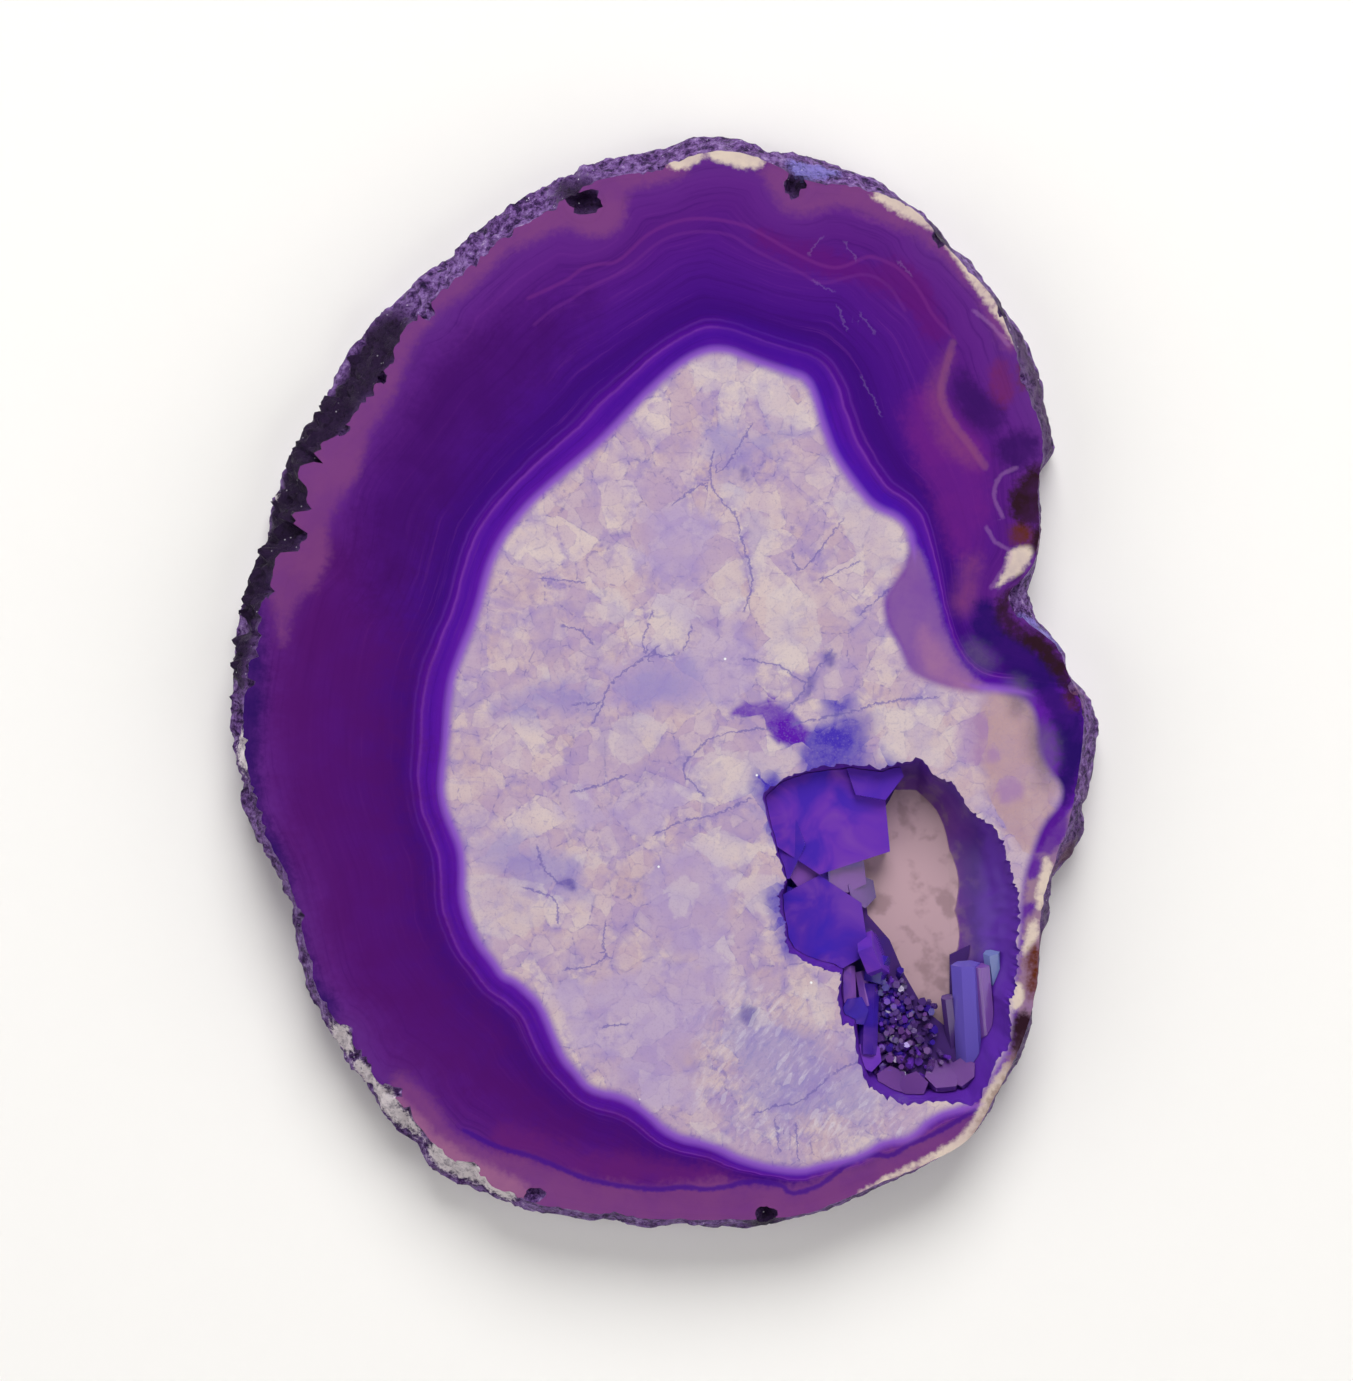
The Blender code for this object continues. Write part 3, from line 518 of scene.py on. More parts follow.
# Tints of the clear centre, in the same form.
centreTints = {
    "lavender": ("AE98CA", 0.6, 1.2, 0.9, [[(640, 512), (680, 503), (712, 520), (714, 560), (700, 600),
        (692, 622), (655, 590), (645, 550)], [(602, 665), (640, 655), (690, 655), (735, 615), (758, 640),
        (745, 690), (700, 705), (660, 712), (610, 708)], [(590, 765), (600, 800), (640, 800), (690, 775),
        (676, 800), (640, 830), (580, 830), (565, 790)], [(650, 860), (700, 850), (735, 880), (738, 950),
        (700, 965), (655, 940), (640, 900)], [(560, 990), (640, 965), (720, 960), (720, 1010),
        (694, 1060), (690, 1107), (640, 1095), (590, 1050)]]),
    "skyBlue": ("9486C4", 0.65, 1.8, 0.9, [[(711, 430), (740, 436), (778, 430), (770, 462), (745, 482),
        (722, 486), (712, 468)],
        [(508, 706), (530, 684), (570, 676), (604, 690), (600, 722), (560, 716)],
        [(489, 850), (520, 842), (577, 858), (585, 890), (540, 890), (495, 872)], [(610, 690),
        (650, 664), (690, 668), (700, 700), (640, 710)], [(724, 1020), (797, 1020), (850, 1050),
        (860, 1100), (800, 1120), (745, 1080)], [(740, 800), (785, 790), (790, 830), (752, 822)]]),
    "windows": ("D9CCCC", 0.4, 0.2, 0.5, [
        [(608, 716), (640, 713), (668, 722), (664, 752), (640, 768), (618, 765), (607, 745)],
        [(594, 590), (612, 588), (632, 605), (634, 622), (615, 630), (600, 618)],
        [(662, 592), (700, 594), (697, 615), (684, 622), (686, 645), (668, 655), (658, 640)],
        [(712, 575), (725, 558), (742, 560), (747, 575), (740, 595), (727, 616), (718, 605)],
        [(717, 484), (735, 488), (741, 500), (735, 512), (722, 500)],
        [(743, 520), (757, 512), (772, 525), (765, 550), (757, 578), (746, 560)],
        [(770, 600), (800, 588), (820, 610), (824, 645), (805, 672), (780, 667), (765, 640)],
        [(838, 500), (862, 494), (885, 512), (900, 530), (906, 560), (882, 577), (852, 568)],
        [(872, 712), (930, 703), (948, 730), (940, 770), (905, 757), (875, 758)],
        [(683, 765), (705, 745), (745, 745), (790, 745), (808, 752), (800, 768), (765, 785), (735, 802),
         (700, 798), (680, 785)],
        [(537, 663), (552, 668), (556, 677), (545, 678)], [(616, 655), (634, 663), (625, 670)],
        [(470, 875), (500, 872), (545, 888), (557, 900), (555, 915), (530, 930), (505, 945), (480, 930),
         (468, 900)],
        [(668, 884), (686, 870), (698, 892), (690, 918), (672, 925), (662, 905)],
        [(735, 880), (755, 868), (783, 872), (778, 890), (784, 902), (765, 908), (745, 905)],
        [(720, 930), (735, 922), (743, 935), (733, 955), (722, 945)],
        [(690, 830), (720, 820), (745, 830), (762, 848), (740, 862), (712, 858)],
        [(560, 775), (575, 770), (592, 790), (597, 802), (578, 800)],
        [(578, 855), (600, 850), (606, 866), (590, 872)],
        [(665, 1118), (700, 1116), (735, 1128), (745, 1150), (710, 1143)],
        [(752, 1006), (766, 1003), (769, 1015), (757, 1019)],
        [(805, 985), (822, 972), (838, 985), (838, 1015), (815, 1020)],
        [(690, 372), (725, 362), (770, 380), (792, 392), (800, 425), (770, 415), (740, 400),
         (700, 400)]]),
    "tan": ("B8949A", 0.85, 1.2, 0.5, [[(985, 684), (1006, 684), (1026, 697), (1037, 720), (1038, 752),
        (1052, 772), (1062, 788), (1056, 806), (1040, 822), (1030, 848), (1014, 848), (1000, 815),
        (985, 790), (972, 740)]]),
    "greyShade": ("62526A", 0.85, 1.8, 0.2, [[(1028, 712), (1048, 722), (1056, 760), (1050, 786),
        (1034, 778), (1028, 745)], [(1006, 684), (1020, 690), (1024, 708), (1012, 712)]]),
    "inkSpots": ("5646A0", 0.8, 0.5, 0.25, [[(736, 464), (750, 468), (750, 484), (738, 484)],
        [(820, 648), (836, 654), (832, 670), (818, 664)],
        [(806, 676), (822, 666), (814, 690), (800, 702)],
        [(744, 1002), (753, 1008), (749, 1020), (741, 1013)], [(560, 880), (572, 876), (576, 888)]]),
    "lilacMarks": ("9A6FB8", 0.55, 0.8, 0.6, [[(956, 736), (964, 722), (974, 716), (984, 728),
        (976, 742), (982, 754), (970, 762), (960, 752)],
        [(984, 746), (1000, 750), (994, 760), (984, 758)],
        [(1000, 778), (1010, 776), (1012, 788), (1003, 794)]]),
    "inkBleed": ("4834B4", 1.0, 1.5, 0.6, [[(795, 752), (806, 735), (830, 728), (852, 716), (866, 718),
        (872, 760), (905, 772), (800, 792)], [(758, 776), (776, 770), (786, 790), (782, 832), (770, 826),
        (760, 800)], [(774, 896), (786, 880), (794, 910), (792, 955), (782, 948), (780, 915)],
        [(833, 702), (848, 700), (848, 710), (835, 712)]]),
    "violetBleed": ("5E1CAE", 1.0, 0.5, 0.3, [[(733, 713), (748, 700), (768, 698), (786, 706),
        (792, 718), (806, 730), (800, 742), (778, 738), (765, 722), (745, 716)]]),
}

# The stretch of the clear centre that is made of small splinters.
splinters = [(690, 1010), (745, 965), (800, 975), (835, 1020), (862, 1090), (930, 1108), (905, 1136),
             (858, 1152), (800, 1162), (745, 1150), (700, 1112), (680, 1060)]

# Thin lines on the polished faces: hex colour, strength, width and wander in mm, and open lines.
lineMarks = {
    "upperStrand": ("742C80", 0.36, 0.13, 0.04, [[(535, 300), (552, 292), (570, 284), (582, 273),
        (600, 268), (616, 268), (628, 258), (644, 242), (660, 232), (680, 225), (700, 223),
        (722, 225), (744, 230),
        (760, 238), (780, 250), (800, 261), (820, 270), (836, 273), (850, 268), (866, 260), (880, 264),
        (896, 272), (910, 286), (920, 300), (930, 320), (948, 338)]]),
    "lowerStrand": ("6E2C84", 0.3, 0.12, 0.05, [[(540, 325), (555, 312), (572, 304), (590, 291),
        (616, 280), (636, 266), (654, 250), (672, 240), (696, 236), (720, 237), (736, 242),
        (752, 254), (776, 266),
        (800, 277), (816, 288), (832, 286), (850, 280), (868, 278), (888, 290), (900, 310)]]),
    # lilac lines: marks of the stone, partly painted glint
    "lilacLines": ("B080B8", 0.22, 0.14, 0.12, [[(1008, 472), (998, 476), (992, 486), (990, 500),
        (997, 514)], [(986, 534), (992, 545), (1004, 549), (1009, 558), (1001, 568), (991, 584)],
        [(975, 318), (990, 330), (1002, 345)]]),
    "amberLines": ("B4745E", 0.16, 0.28, 0.14, [[(949, 350), (940, 383), (938, 400), (946, 421),
        (966, 446), (980, 466)]]),
    "scuffs": ("B496CC", 0.1, 0.07, 0.4, [[(817, 246), (811, 254)], [(846, 251), (851, 259)],
        [(817, 288), (827, 293)], [(838, 315), (843, 328)], [(862, 322), (869, 332)],
        [(862, 385), (870, 398), (877, 413)], [(900, 270), (905, 276)]]),
    "inkLines": ("3E1280", 0.8, 0.18, 0.15, [[(470, 1128), (500, 1143), (529, 1150), (550, 1158),
        (586, 1174), (621, 1181), (657, 1185), (686, 1181), (704, 1185), (729, 1181), (746, 1176),
        (779, 1178), (789, 1189), (800, 1187), (818, 1181), (836, 1167), (850, 1155), (872, 1149),
        (890, 1152), (905, 1140), (925, 1133), (945, 1122), (968, 1108)]]),
    "cracks": ("7062AC", 0.7, 0.07, 0.35, [
        [(748, 432), (738, 450), (724, 470)], [(708, 484), (693, 490), (677, 503)],
        [(712, 459), (709, 472), (711, 486), (715, 495), (726, 508), (737, 518), (739, 535), (745, 555),
         (752, 575), (750, 592), (745, 606)], [(792, 560), (797, 575), (812, 560), (822, 548),
        (838, 525)], [(824, 580), (835, 573), (852, 565)], [(862, 612), (875, 600), (886, 592)],
        [(700, 790), (679, 769), (694, 752), (712, 735), (745, 730), (765, 728)],
        [(547, 580), (565, 581), (580, 583)], [(569, 628), (583, 631), (590, 640)],
        [(655, 650), (643, 660), (625, 670), (606, 690), (603, 706), (596, 718)],
        [(604, 702), (580, 704)],
        [(651, 618), (643, 640), (645, 655), (662, 657), (684, 653), (690, 632)],
        [(748, 660), (780, 666), (790, 675), (805, 684), (812, 675), (822, 662), (827, 655)],
        [(805, 684), (800, 695), (788, 706)], [(530, 887), (553, 894), (559, 902), (559, 915)],
        [(606, 925), (603, 942), (607, 952)], [(571, 966), (591, 964), (606, 955)],
        [(797, 723), (825, 717), (854, 711), (876, 703), (905, 699), (930, 697)],
        [(659, 831), (682, 819), (703, 816), (722, 811), (745, 800)], [(607, 1023), (622, 1021)],
        [(758, 1108), (775, 1101), (800, 1099), (822, 1078)], [(838, 1066), (848, 1060), (858, 1058)],
        [(775, 1120), (778, 1140)], [(795, 1125), (797, 1150)], [(560, 880), (545, 868), (540, 850)],
        [(578, 790), (600, 785), (622, 776)]]),
}

# Stains of the rind, with painted light and shade among them, in the same form.
rindTints = {
    # the left rind's own near-black, and painted shade in the pits
    "pitBlack": ("180724", 1.0, 1.6, 0.6, [[(395, 300), (420, 330), (400, 370), (375, 400), (345, 440),
        (322, 480), (312, 545), (285, 570), (262, 620), (250, 690), (215, 690), (215, 560), (290, 400)],
        [(555, 180), (600, 190), (610, 212), (590, 222), (566, 215)], [(780, 178), (812, 178),
        (812, 205), (785, 205)], [(925, 225), (950, 232), (948, 256), (928, 250)],
        [(990, 300), (1010, 305), (1008, 325), (992, 322)], [(750, 1200), (782, 1200), (778, 1240),
        (752, 1236)]]),
    # painted light: rind faces that look up, painted bright lavender as if lit from above
    "glaze": ("7E78C8", 0.75, 0.5, 0.3, [[(784, 166), (800, 160), (839, 168), (842, 182), (800, 184)],
        [(1014, 612), (1030, 618), (1062, 646), (1058, 655), (1030, 640), (1012, 625)]]),
    "sugarWhite": ("E0D6DA", 1.0, 0.4, 0.4, [[(330, 1018), (350, 1022), (360, 1045), (348, 1052),
        (334, 1040)], [(356, 1056), (370, 1060), (412, 1112), (424, 1136), (405, 1130), (378, 1104),
        (360, 1082)], [(425, 1136), (452, 1142), (482, 1160), (520, 1186), (514, 1200), (470, 1180),
        (430, 1160)], [(240, 730), (262, 735), (262, 770), (242, 770)], [(268, 490), (278, 488),
        (276, 505), (266, 508)]]),
    "rust": ("6E3A1C", 0.7, 0.8, 0.5, [[(1040, 470), (1050, 470), (1046, 560), (1036, 560)],
        [(1066, 686), (1080, 700), (1074, 716), (1062, 704)], [(1034, 930), (1052, 930), (1044, 1010),
        (1030, 1010)], [(1060, 850), (1080, 838), (1070, 870), (1048, 885)]]),
    # painted shade: the rind that faces right, darkened
    "ashRight": ("4A3852", 0.85, 1.4, 0.6, [[(1005, 290), (1040, 340), (1065, 450), (1045, 470),
        (1030, 400), (1010, 340)], [(1085, 790), (1095, 790), (1092, 850), (1056, 900), (1060, 980),
        (1040, 1060), (1005, 1110), (990, 1100), (1030, 1020), (1040, 930), (1050, 880), (1072, 840)]]),
}


def bandsAt(spots):   # 0 at the clear centre's edge, lineShare on the pale line beside it, 1 at the rim
    fromCore = np.maximum(0, -insideOutline(spots, bands["core"]))
    fromRim = np.maximum(0, insideOutline(spots, stone["polishedEdge"]))
    for px, py, across, down, _ in stone["pits"]:
        x, y = place(px, py)
        size = (across + down) / 2
        fromPit = np.hypot(spots[:, 0] - x, spots[:, 1] - y) / mm - size
        fromRim = np.minimum(fromRim, np.maximum(0, fromPit))
    whole = np.maximum(fromCore + fromRim, 0.01)
    line = bands["lineStart"] + bands["lineSlope"] * whole
    beyond = np.clip((fromCore - line) / np.maximum(whole - line, 0.01), 0, 1)
    return bands["lineShare"] * np.minimum(fromCore / line, 1) + (1 - bands["lineShare"]) * beyond


def markStone(piece):   # what the materials read, stored on the mesh
    mesh = piece.data
    spots = np.empty(len(mesh.vertices) * 3, np.float32)
    mesh.vertices.foreach_get("co", spots)
    spots = spots.reshape(-1, 3).astype(float)
    store(mesh, "band", bandsAt(spots))
    store(mesh, "inCore", insideOutline(spots, bands["core"]))
    store(mesh, "alongCore", alongOutline(spots, bands["core"]))
    store(mesh, "inQuartz", insideOutline(spots, bands["quartz"]))
    store(mesh, "inSplinters", insideOutline(spots, splinters))
    onFloor = spots[:, 2] < thickness - pocket["depth"] + 0.05 * mm
    store(mesh, "inWindow", np.where(onFloor, 1, insideOutline(spots, pocket["window"], 1)))
    for name, (*_, lines) in lineMarks.items():
        beside, near = besideLines(spots, lines)
        store(mesh, name, beside)
        store(mesh, name + "Reach", near)
    for tints, rounds in ((ringTints, 2), (centreTints, 0), (rindTints, 2)):
        for name, (*_, outlines) in tints.items():
            store(mesh, name, insideAny(spots, outlines, rounds))


def laid(tree, colour, code, value, low, high, top=1.0, where=None, soft=True):
    # lays a colour over another as a value goes from low to high, up to a share, and only where told
    share = add(tree, "MapRange", {"interpolation_type": "SMOOTHSTEP" if soft else "LINEAR"}, {
        "Value": value, "From Min": low, "From Max": high, "To Max": top}, "Result")
    if where is not None:
        share = add(tree, "Math", {"operation": "MULTIPLY"}, {0: share, 1: where})
    return add(tree, "MixRGB", {}, {"Fac": share, "Color1": colour, "Color2": code})


def tinted(tree, colour, tints, drift, slow):   # lays each tint, a little unevenly, by its distance
    even = add(tree, "MapRange", {}, {"Value": slow, "From Min": 0.36, "From Max": 0.58,
                                      "To Min": 0.74}, "Result")
    for name, (code, strength, soft, wander, _) in tints.items():
        inside = add(tree, "Attribute", {"attribute_name": name}, {}, "Fac")
        moved = add(tree, "Math", {"operation": "MULTIPLY_ADD"}, {0: drift, 1: wander, 2: inside})
        colour = laid(tree, colour, code, moved, -soft / 2, soft / 2, strength, even)
    return colour


def lined(tree, colour, names, drift, breaks):   # thin lines, broken here and there
    for name in names:
        code, strength, wide, wander, _ = lineMarks[name]
        beside = add(tree, "Attribute", {"attribute_name": name}, {}, "Fac")
        near = add(tree, "Attribute", {"attribute_name": name + "Reach"}, {}, "Fac")
        moved = add(tree, "Math", {"operation": "MULTIPLY_ADD"}, {0: drift, 1: wander, 2: beside})
        side = add(tree, "Math", {"operation": "ABSOLUTE"}, {0: moved})
        reach = add(tree, "MapRange", {}, {"Value": near, "From Min": 0.55, "From Max": 0.35}, "Result")
        reach = add(tree, "Math", {"operation": "MULTIPLY"}, {0: reach, 1: breaks})
        colour = laid(tree, colour, code, side, wide * 1.4, wide * 0.3, strength, reach)
    return colour


def startPattern(name):   # a material and its place in mm
    made, tree, shader = startMaterial(name)
    spot = add(tree, "VectorMath", {"operation": "SCALE"}, {
        0: add(tree, "TexCoord", {}, {}, "Object"), "Scale": 1 / mm})
    return made, tree, shader, spot


def slowNoise(tree, spot):   # the noise that the patterns share, and how far it moves an edge
    slow = add(tree, "TexNoise", {}, {"Vector": spot, "Scale": 0.45, "Detail": 5.0, "Roughness": 0.62})
    drift = add(tree, "Math", {"operation": "MULTIPLY_ADD"}, {0: slow, 1: 4.0, 2: -2.0})
    return slow, drift


agateLook = {
    # the bands from the centre's edge to the rim, by the stored band value
    "bands": [(0.0, "5E1E9C"), (0.035, "561698"), (0.08, "4A1092"), (0.108, "541894"), (0.12, "6C2E9A"),
              (0.13, "4C0E88"), (0.15, "440D80"), (0.16, "501E88"), (0.17, "400C7A"),
              (0.195, "3A0C76"), (0.24, "3A0C72"), (0.33, "42107A"), (0.46, "4A157E"), (0.6, "4F177C"),
              (0.72, "521A78"), (0.85, "5A227E"), (1.0, "5C2A7E")],
    # the fine stripes: how many cross the bands, their cycles per mm along them, and their strength
    "stripes": 42, "drawnOut": 0.11, "stripeShare": 0.34,
    "stripeDark": "34095E", "stripePale": "6A2A86",
    # the clear centre: its mottling, its crystals' tones, the dye that soaked in along their joints
    "mottle": [(0.3, "C2A6B2"), (0.45, "CAB0B8"), (0.58, "D2BBBE"), (0.72, "DAC8C8")],
    "cloud": "AE93C2", "paleCrystal": "DECDC9", "dyedCrystal": "B49AC0", "soaked": "9C86C0",
    # paintedGlint: the white of the painted glints in the clear centre
    "joint": "6A5CA8", "sand": "9C88AA", "paintedGlint": "FFFFFF", "glow": "8C5AC0",
    "crystals": [(0.4, 0.55), (1.0, 0.3)],   # cells per mm and strength, for large and small crystals
    "soakedReach": 0.55, "jointReach": 0.07,   # how far from a crystal's edge, in mm
    # the splinters: their turn in radians, the cycles per mm along and across them, and their tones
    "splinterTurn": -0.95, "splinterCells": (1.1, 3.4, 1.0),
    "splinterDark": "8F86C0", "splinterPale": "E2DAE2",
    "glowReach": 0.5, "clearFrom": -0.1, "clearTo": 0.55,   # mm from the quartz's edge
    "roughness": 0.13, "clearness": 0.12,
}


def polishedAgate():
    # Dyed chalcedony and quartz, sawn, lapped and polished: glassy, with deep colour in the bands
    # and a milky centre that lets a little light through.
    made, tree, shader, spot = startPattern("polishedDyedAgate")
    slow, drift = slowNoise(tree, spot)
    look, smooth = agateLook, {"interpolation_type": "SMOOTHSTEP"}
    fine = add(tree, "TexNoise", {}, {"Vector": spot, "Scale": 2.6, "Detail": 4.0, "Roughness": 0.6})
    fineDrift = add(tree, "Math", {"operation": "MULTIPLY_ADD"}, {0: fine, 1: 2.0, 2: -1.0})
    alongCore = add(tree, "Attribute", {"attribute_name": "alongCore"}, {}, "Fac")
    inQuartz = add(tree, "Attribute", {"attribute_name": "inQuartz"}, {}, "Fac")
    band = add(tree, "Attribute", {"attribute_name": "band"}, {}, "Fac")
    band = add(tree, "Math", {"operation": "MULTIPLY_ADD"}, {0: drift, 1: 0.007, 2: band})
    colour = add(tree, "ValToRGB", {"stops": look["bands"]}, {"Fac": band}, "Color")

    # fine stripes: noise drawn out along the bands
    flat = add(tree, "VectorMath", {"operation": "SCALE"}, {0: spot, "Scale": look["drawnOut"]})
    parts = add(tree, "SeparateXYZ", {}, {0: flat}, "X"), add(tree, "SeparateXYZ", {}, {0: flat}, "Y")
    across = add(tree, "Math", {"operation": "MULTIPLY"}, {0: band, 1: look["stripes"]})
    drawn = add(tree, "CombineXYZ", {}, {"X": across, "Y": parts[0], "Z": parts[1]})
    stripes = add(tree, "TexNoise", {}, {"Vector": drawn, "Scale": 1.0, "Detail": 4.0, "Roughness": 0.7})
    colour = laid(tree, colour, look["stripeDark"], stripes, 0.5, 0.33, look["stripeShare"])
    colour = laid(tree, colour, look["stripePale"], stripes, 0.54, 0.72, look["stripeShare"])
    ragged = add(tree, "Math", {"operation": "MULTIPLY_ADD"}, {
        0: fineDrift, 1: 1.3, 2: add(tree, "Math", {"operation": "MULTIPLY"}, {0: drift, 1: 0.6})})
    colour = tinted(tree, colour, ringTints, ragged, slow)
    colour = lined(tree, colour, ("upperStrand", "lowerStrand", "lilacLines", "amberLines",
                                  "scuffs", "inkLines"), fineDrift, 1.0)

    # the clear centre: mottled and clouded, with streaks that stand on its edge
    centre = add(tree, "ValToRGB", {"stops": look["mottle"]}, {"Fac": slow}, "Color")
    patchy = add(tree, "TexNoise", {}, {"Vector": spot, "Scale": 0.3, "Detail": 5.0, "Roughness": 0.62})
    centre = laid(tree, centre, look["cloud"], patchy, 0.44, 0.66, 0.5)
    inward = add(tree, "Math", {"operation": "MULTIPLY"}, {0: inQuartz, 1: 0.1})
    streaks = add(tree, "TexNoise", {}, {
        "Vector": add(tree, "CombineXYZ", {}, {"X": alongCore, "Y": inward}), "Scale": 1.6,
        "Detail": 4.0, "Roughness": 0.65})
    nearEdge = add(tree, "MapRange", smooth, {"Value": inQuartz, "From Min": 6.0, "From Max": 0.5,
                                              "To Max": 0.5}, "Result")
    centre = laid(tree, centre, look["soaked"], streaks, 0.5, 0.72, where=nearEdge)

    # its crystals, pale or dyed, with dye soaked in along their joints
    bent = add(tree, "VectorMath", {"operation": "MULTIPLY_ADD"}, {
        0: add(tree, "TexNoise", {}, {"Vector": spot, "Scale": 0.6, "Detail": 2.0}, "Color"),
        1: (0.6, 0.6, 0.6), 2: spot})
    dyed = add(tree, "TexNoise", {}, {"Vector": spot, "Scale": 0.7, "Detail": 4.0, "Roughness": 0.65})
    dyed = add(tree, "MapRange", smooth, {"Value": dyed, "From Min": 0.44, "From Max": 0.62}, "Result")
    broken = add(tree, "MapRange", smooth, {"Value": fine, "From Min": 0.46, "From Max": 0.6}, "Result")
    tones = []
    for scale, strength in look["crystals"]:
        tone = add(tree, "SeparateXYZ", {}, {
            0: add(tree, "TexVoronoi", {}, {"Vector": bent, "Scale": scale}, "Color")}, "X")
        tones.append(tone)
        centre = laid(tree, centre, look["paleCrystal"], tone, 0.6, 0.85, strength, soft=False)
        centre = laid(tree, centre, look["dyedCrystal"], tone, 0.35, 0.1, strength, soft=False)
        edge = add(tree, "TexVoronoi", {"feature": "DISTANCE_TO_EDGE"}, {
            "Vector": bent, "Scale": scale}, "Distance")
        for reach, code, where in (("soakedReach", "soaked", dyed), ("jointReach", "joint", broken)):
            centre = laid(tree, centre, look[code], edge, look[reach] * scale, 0.0, strength, where)
    jagged = add(tree, "Math", {"operation": "MULTIPLY_ADD"}, {0: drift, 1: 0.6, 2: -0.8})
    jagged = add(tree, "Math", {"operation": "MULTIPLY_ADD"}, {0: tones[0], 1: 1.6, 2: jagged})
    jagged = add(tree, "Math", {"operation": "MULTIPLY_ADD"}, {
        0: tones[1], 1: 0.6, 2: add(tree, "Math", {"operation": "ADD"}, {0: jagged, 1: -0.3})})
    centre = tinted(tree, centre, centreTints, jagged, slow)

    # its splinters, which lie up and to the right
    turned = add(tree, "VectorRotate", {"rotation_type": "Z_AXIS"}, {
        "Vector": bent, "Angle": look["splinterTurn"]})
    turned = add(tree, "VectorMath", {"operation": "MULTIPLY"}, {0: turned, 1: look["splinterCells"]})
    brushed = add(tree, "TexNoise", {}, {
        "Vector": turned, "Scale": 1.0, "Detail": 3.0, "Roughness": 0.65})
    flecks = add(tree, "SeparateXYZ", {}, {
        0: add(tree, "TexVoronoi", {}, {"Vector": turned, "Scale": 1.2}, "Color")}, "X")
    inSplinters = add(tree, "Attribute", {"attribute_name": "inSplinters"}, {}, "Fac")
    where = add(tree, "MapRange", smooth, {
        "Value": add(tree, "Math", {"operation": "ADD"}, {0: inSplinters, 1: drift}),
        "From Min": -0.8, "From Max": 1.6}, "Result")
    centre = laid(tree, centre, look["splinterDark"], brushed, 0.48, 0.34, 0.42, where, False)
    centre = laid(tree, centre, look["splinterPale"], brushed, 0.54, 0.7, 0.34, where, False)
    centre = laid(tree, centre, look["splinterPale"], flecks, 0.92, 0.97, 0.3, where, False)

    # its cracks, each with dye beside it, a few painted glints as white specks, and a sandy grain
    near = add(tree, "Attribute", {"attribute_name": "cracksReach"}, {}, "Fac")
    centre = laid(tree, centre, look["soaked"], near, 0.9, 0.05, 0.5, dyed)
    broken = add(tree, "MapRange", smooth, {"Value": fine, "From Min": 0.3, "From Max": 0.46}, "Result")
    centre = lined(tree, centre, ("cracks",), fineDrift, broken)
    # painted glints: rare white specks in the base colour
    speck = add(tree, "TexVoronoi", {}, {"Vector": spot, "Scale": 0.7}, "Distance")
    seldom = add(tree, "SeparateXYZ", {}, {
        0: add(tree, "TexVoronoi", {}, {"Vector": spot, "Scale": 0.7}, "Color")}, "Y")
    seldom = add(tree, "MapRange", {}, {"Value": seldom, "From Min": 0.9, "From Max": 0.93}, "Result")
    centre = laid(tree, centre, look["paintedGlint"], speck, 0.07, 0.04, where=seldom, soft=False)
    sandy = add(tree, "TexNoise", {}, {"Vector": spot, "Scale": 7.0, "Detail": 3.0, "Roughness": 0.7})
    centre = laid(tree, centre, look["sand"], sandy, 0.52, 0.7, 0.35, soft=False)

    # its edge: the bands' dye glows through the first of the quartz
    inCore = add(tree, "Attribute", {"attribute_name": "inCore"}, {}, "Fac")
    aside = add(tree, "Math", {"operation": "MAXIMUM"}, {
        0: add(tree, "Math", {"operation": "ABSOLUTE"}, {0: inCore}),
        1: add(tree, "Math", {"operation": "ABSOLUTE"}, {0: inQuartz})})
    colour = laid(tree, colour, look["glow"], aside, look["glowReach"], 0.0, 0.75)
    clear = add(tree, "MapRange", smooth, {"Value": inQuartz, "From Min": look["clearFrom"],
                                           "From Max": look["clearTo"]}, "Result")
    colour = add(tree, "MixRGB", {}, {"Fac": clear, "Color1": colour, "Color2": centre})

    tree.links.new(colour, shader.inputs["Base Color"])
    polish = add(tree, "MapRange", {}, {"Value": fine, "From Min": 0.2, "From Max": 0.8,
                                        "To Min": look["roughness"] * 0.8,
                                        "To Max": look["roughness"] * 1.3}, "Result")
    tree.links.new(polish, shader.inputs["Roughness"])
    through = add(tree, "Math", {"operation": "MULTIPLY"}, {0: clear, 1: look["clearness"]})
    tree.links.new(through, shader.inputs["Transmission Weight"])
    shader.inputs["IOR"].default_value = 1.54
    return made


rindLook = {
    "tones": [(0.3, "2A1446"), (0.42, "4A2C64"), (0.54, "6E4C8C"), (0.66, "886AA8"), (0.8, "B4A2C2")],
    "tintTop": 2.8, "tintBottom": 0.6,   # between these heights, in mm, the tints fade out: stains, painted light and painted shade alike
    # painted shade in the grit's pits and its strength; the painted glints' cells per mm and their
    # colour
    "shade": "4A3A66", "paintedPitShadeShare": 0.6, "grain": 3.2, "paintedSpark": "E4DEEE",
    "roughness": (0.28, 0.6), "specular": 0.08, "bump": 0.25 * mm, "bumpStrength": 0.8,
}


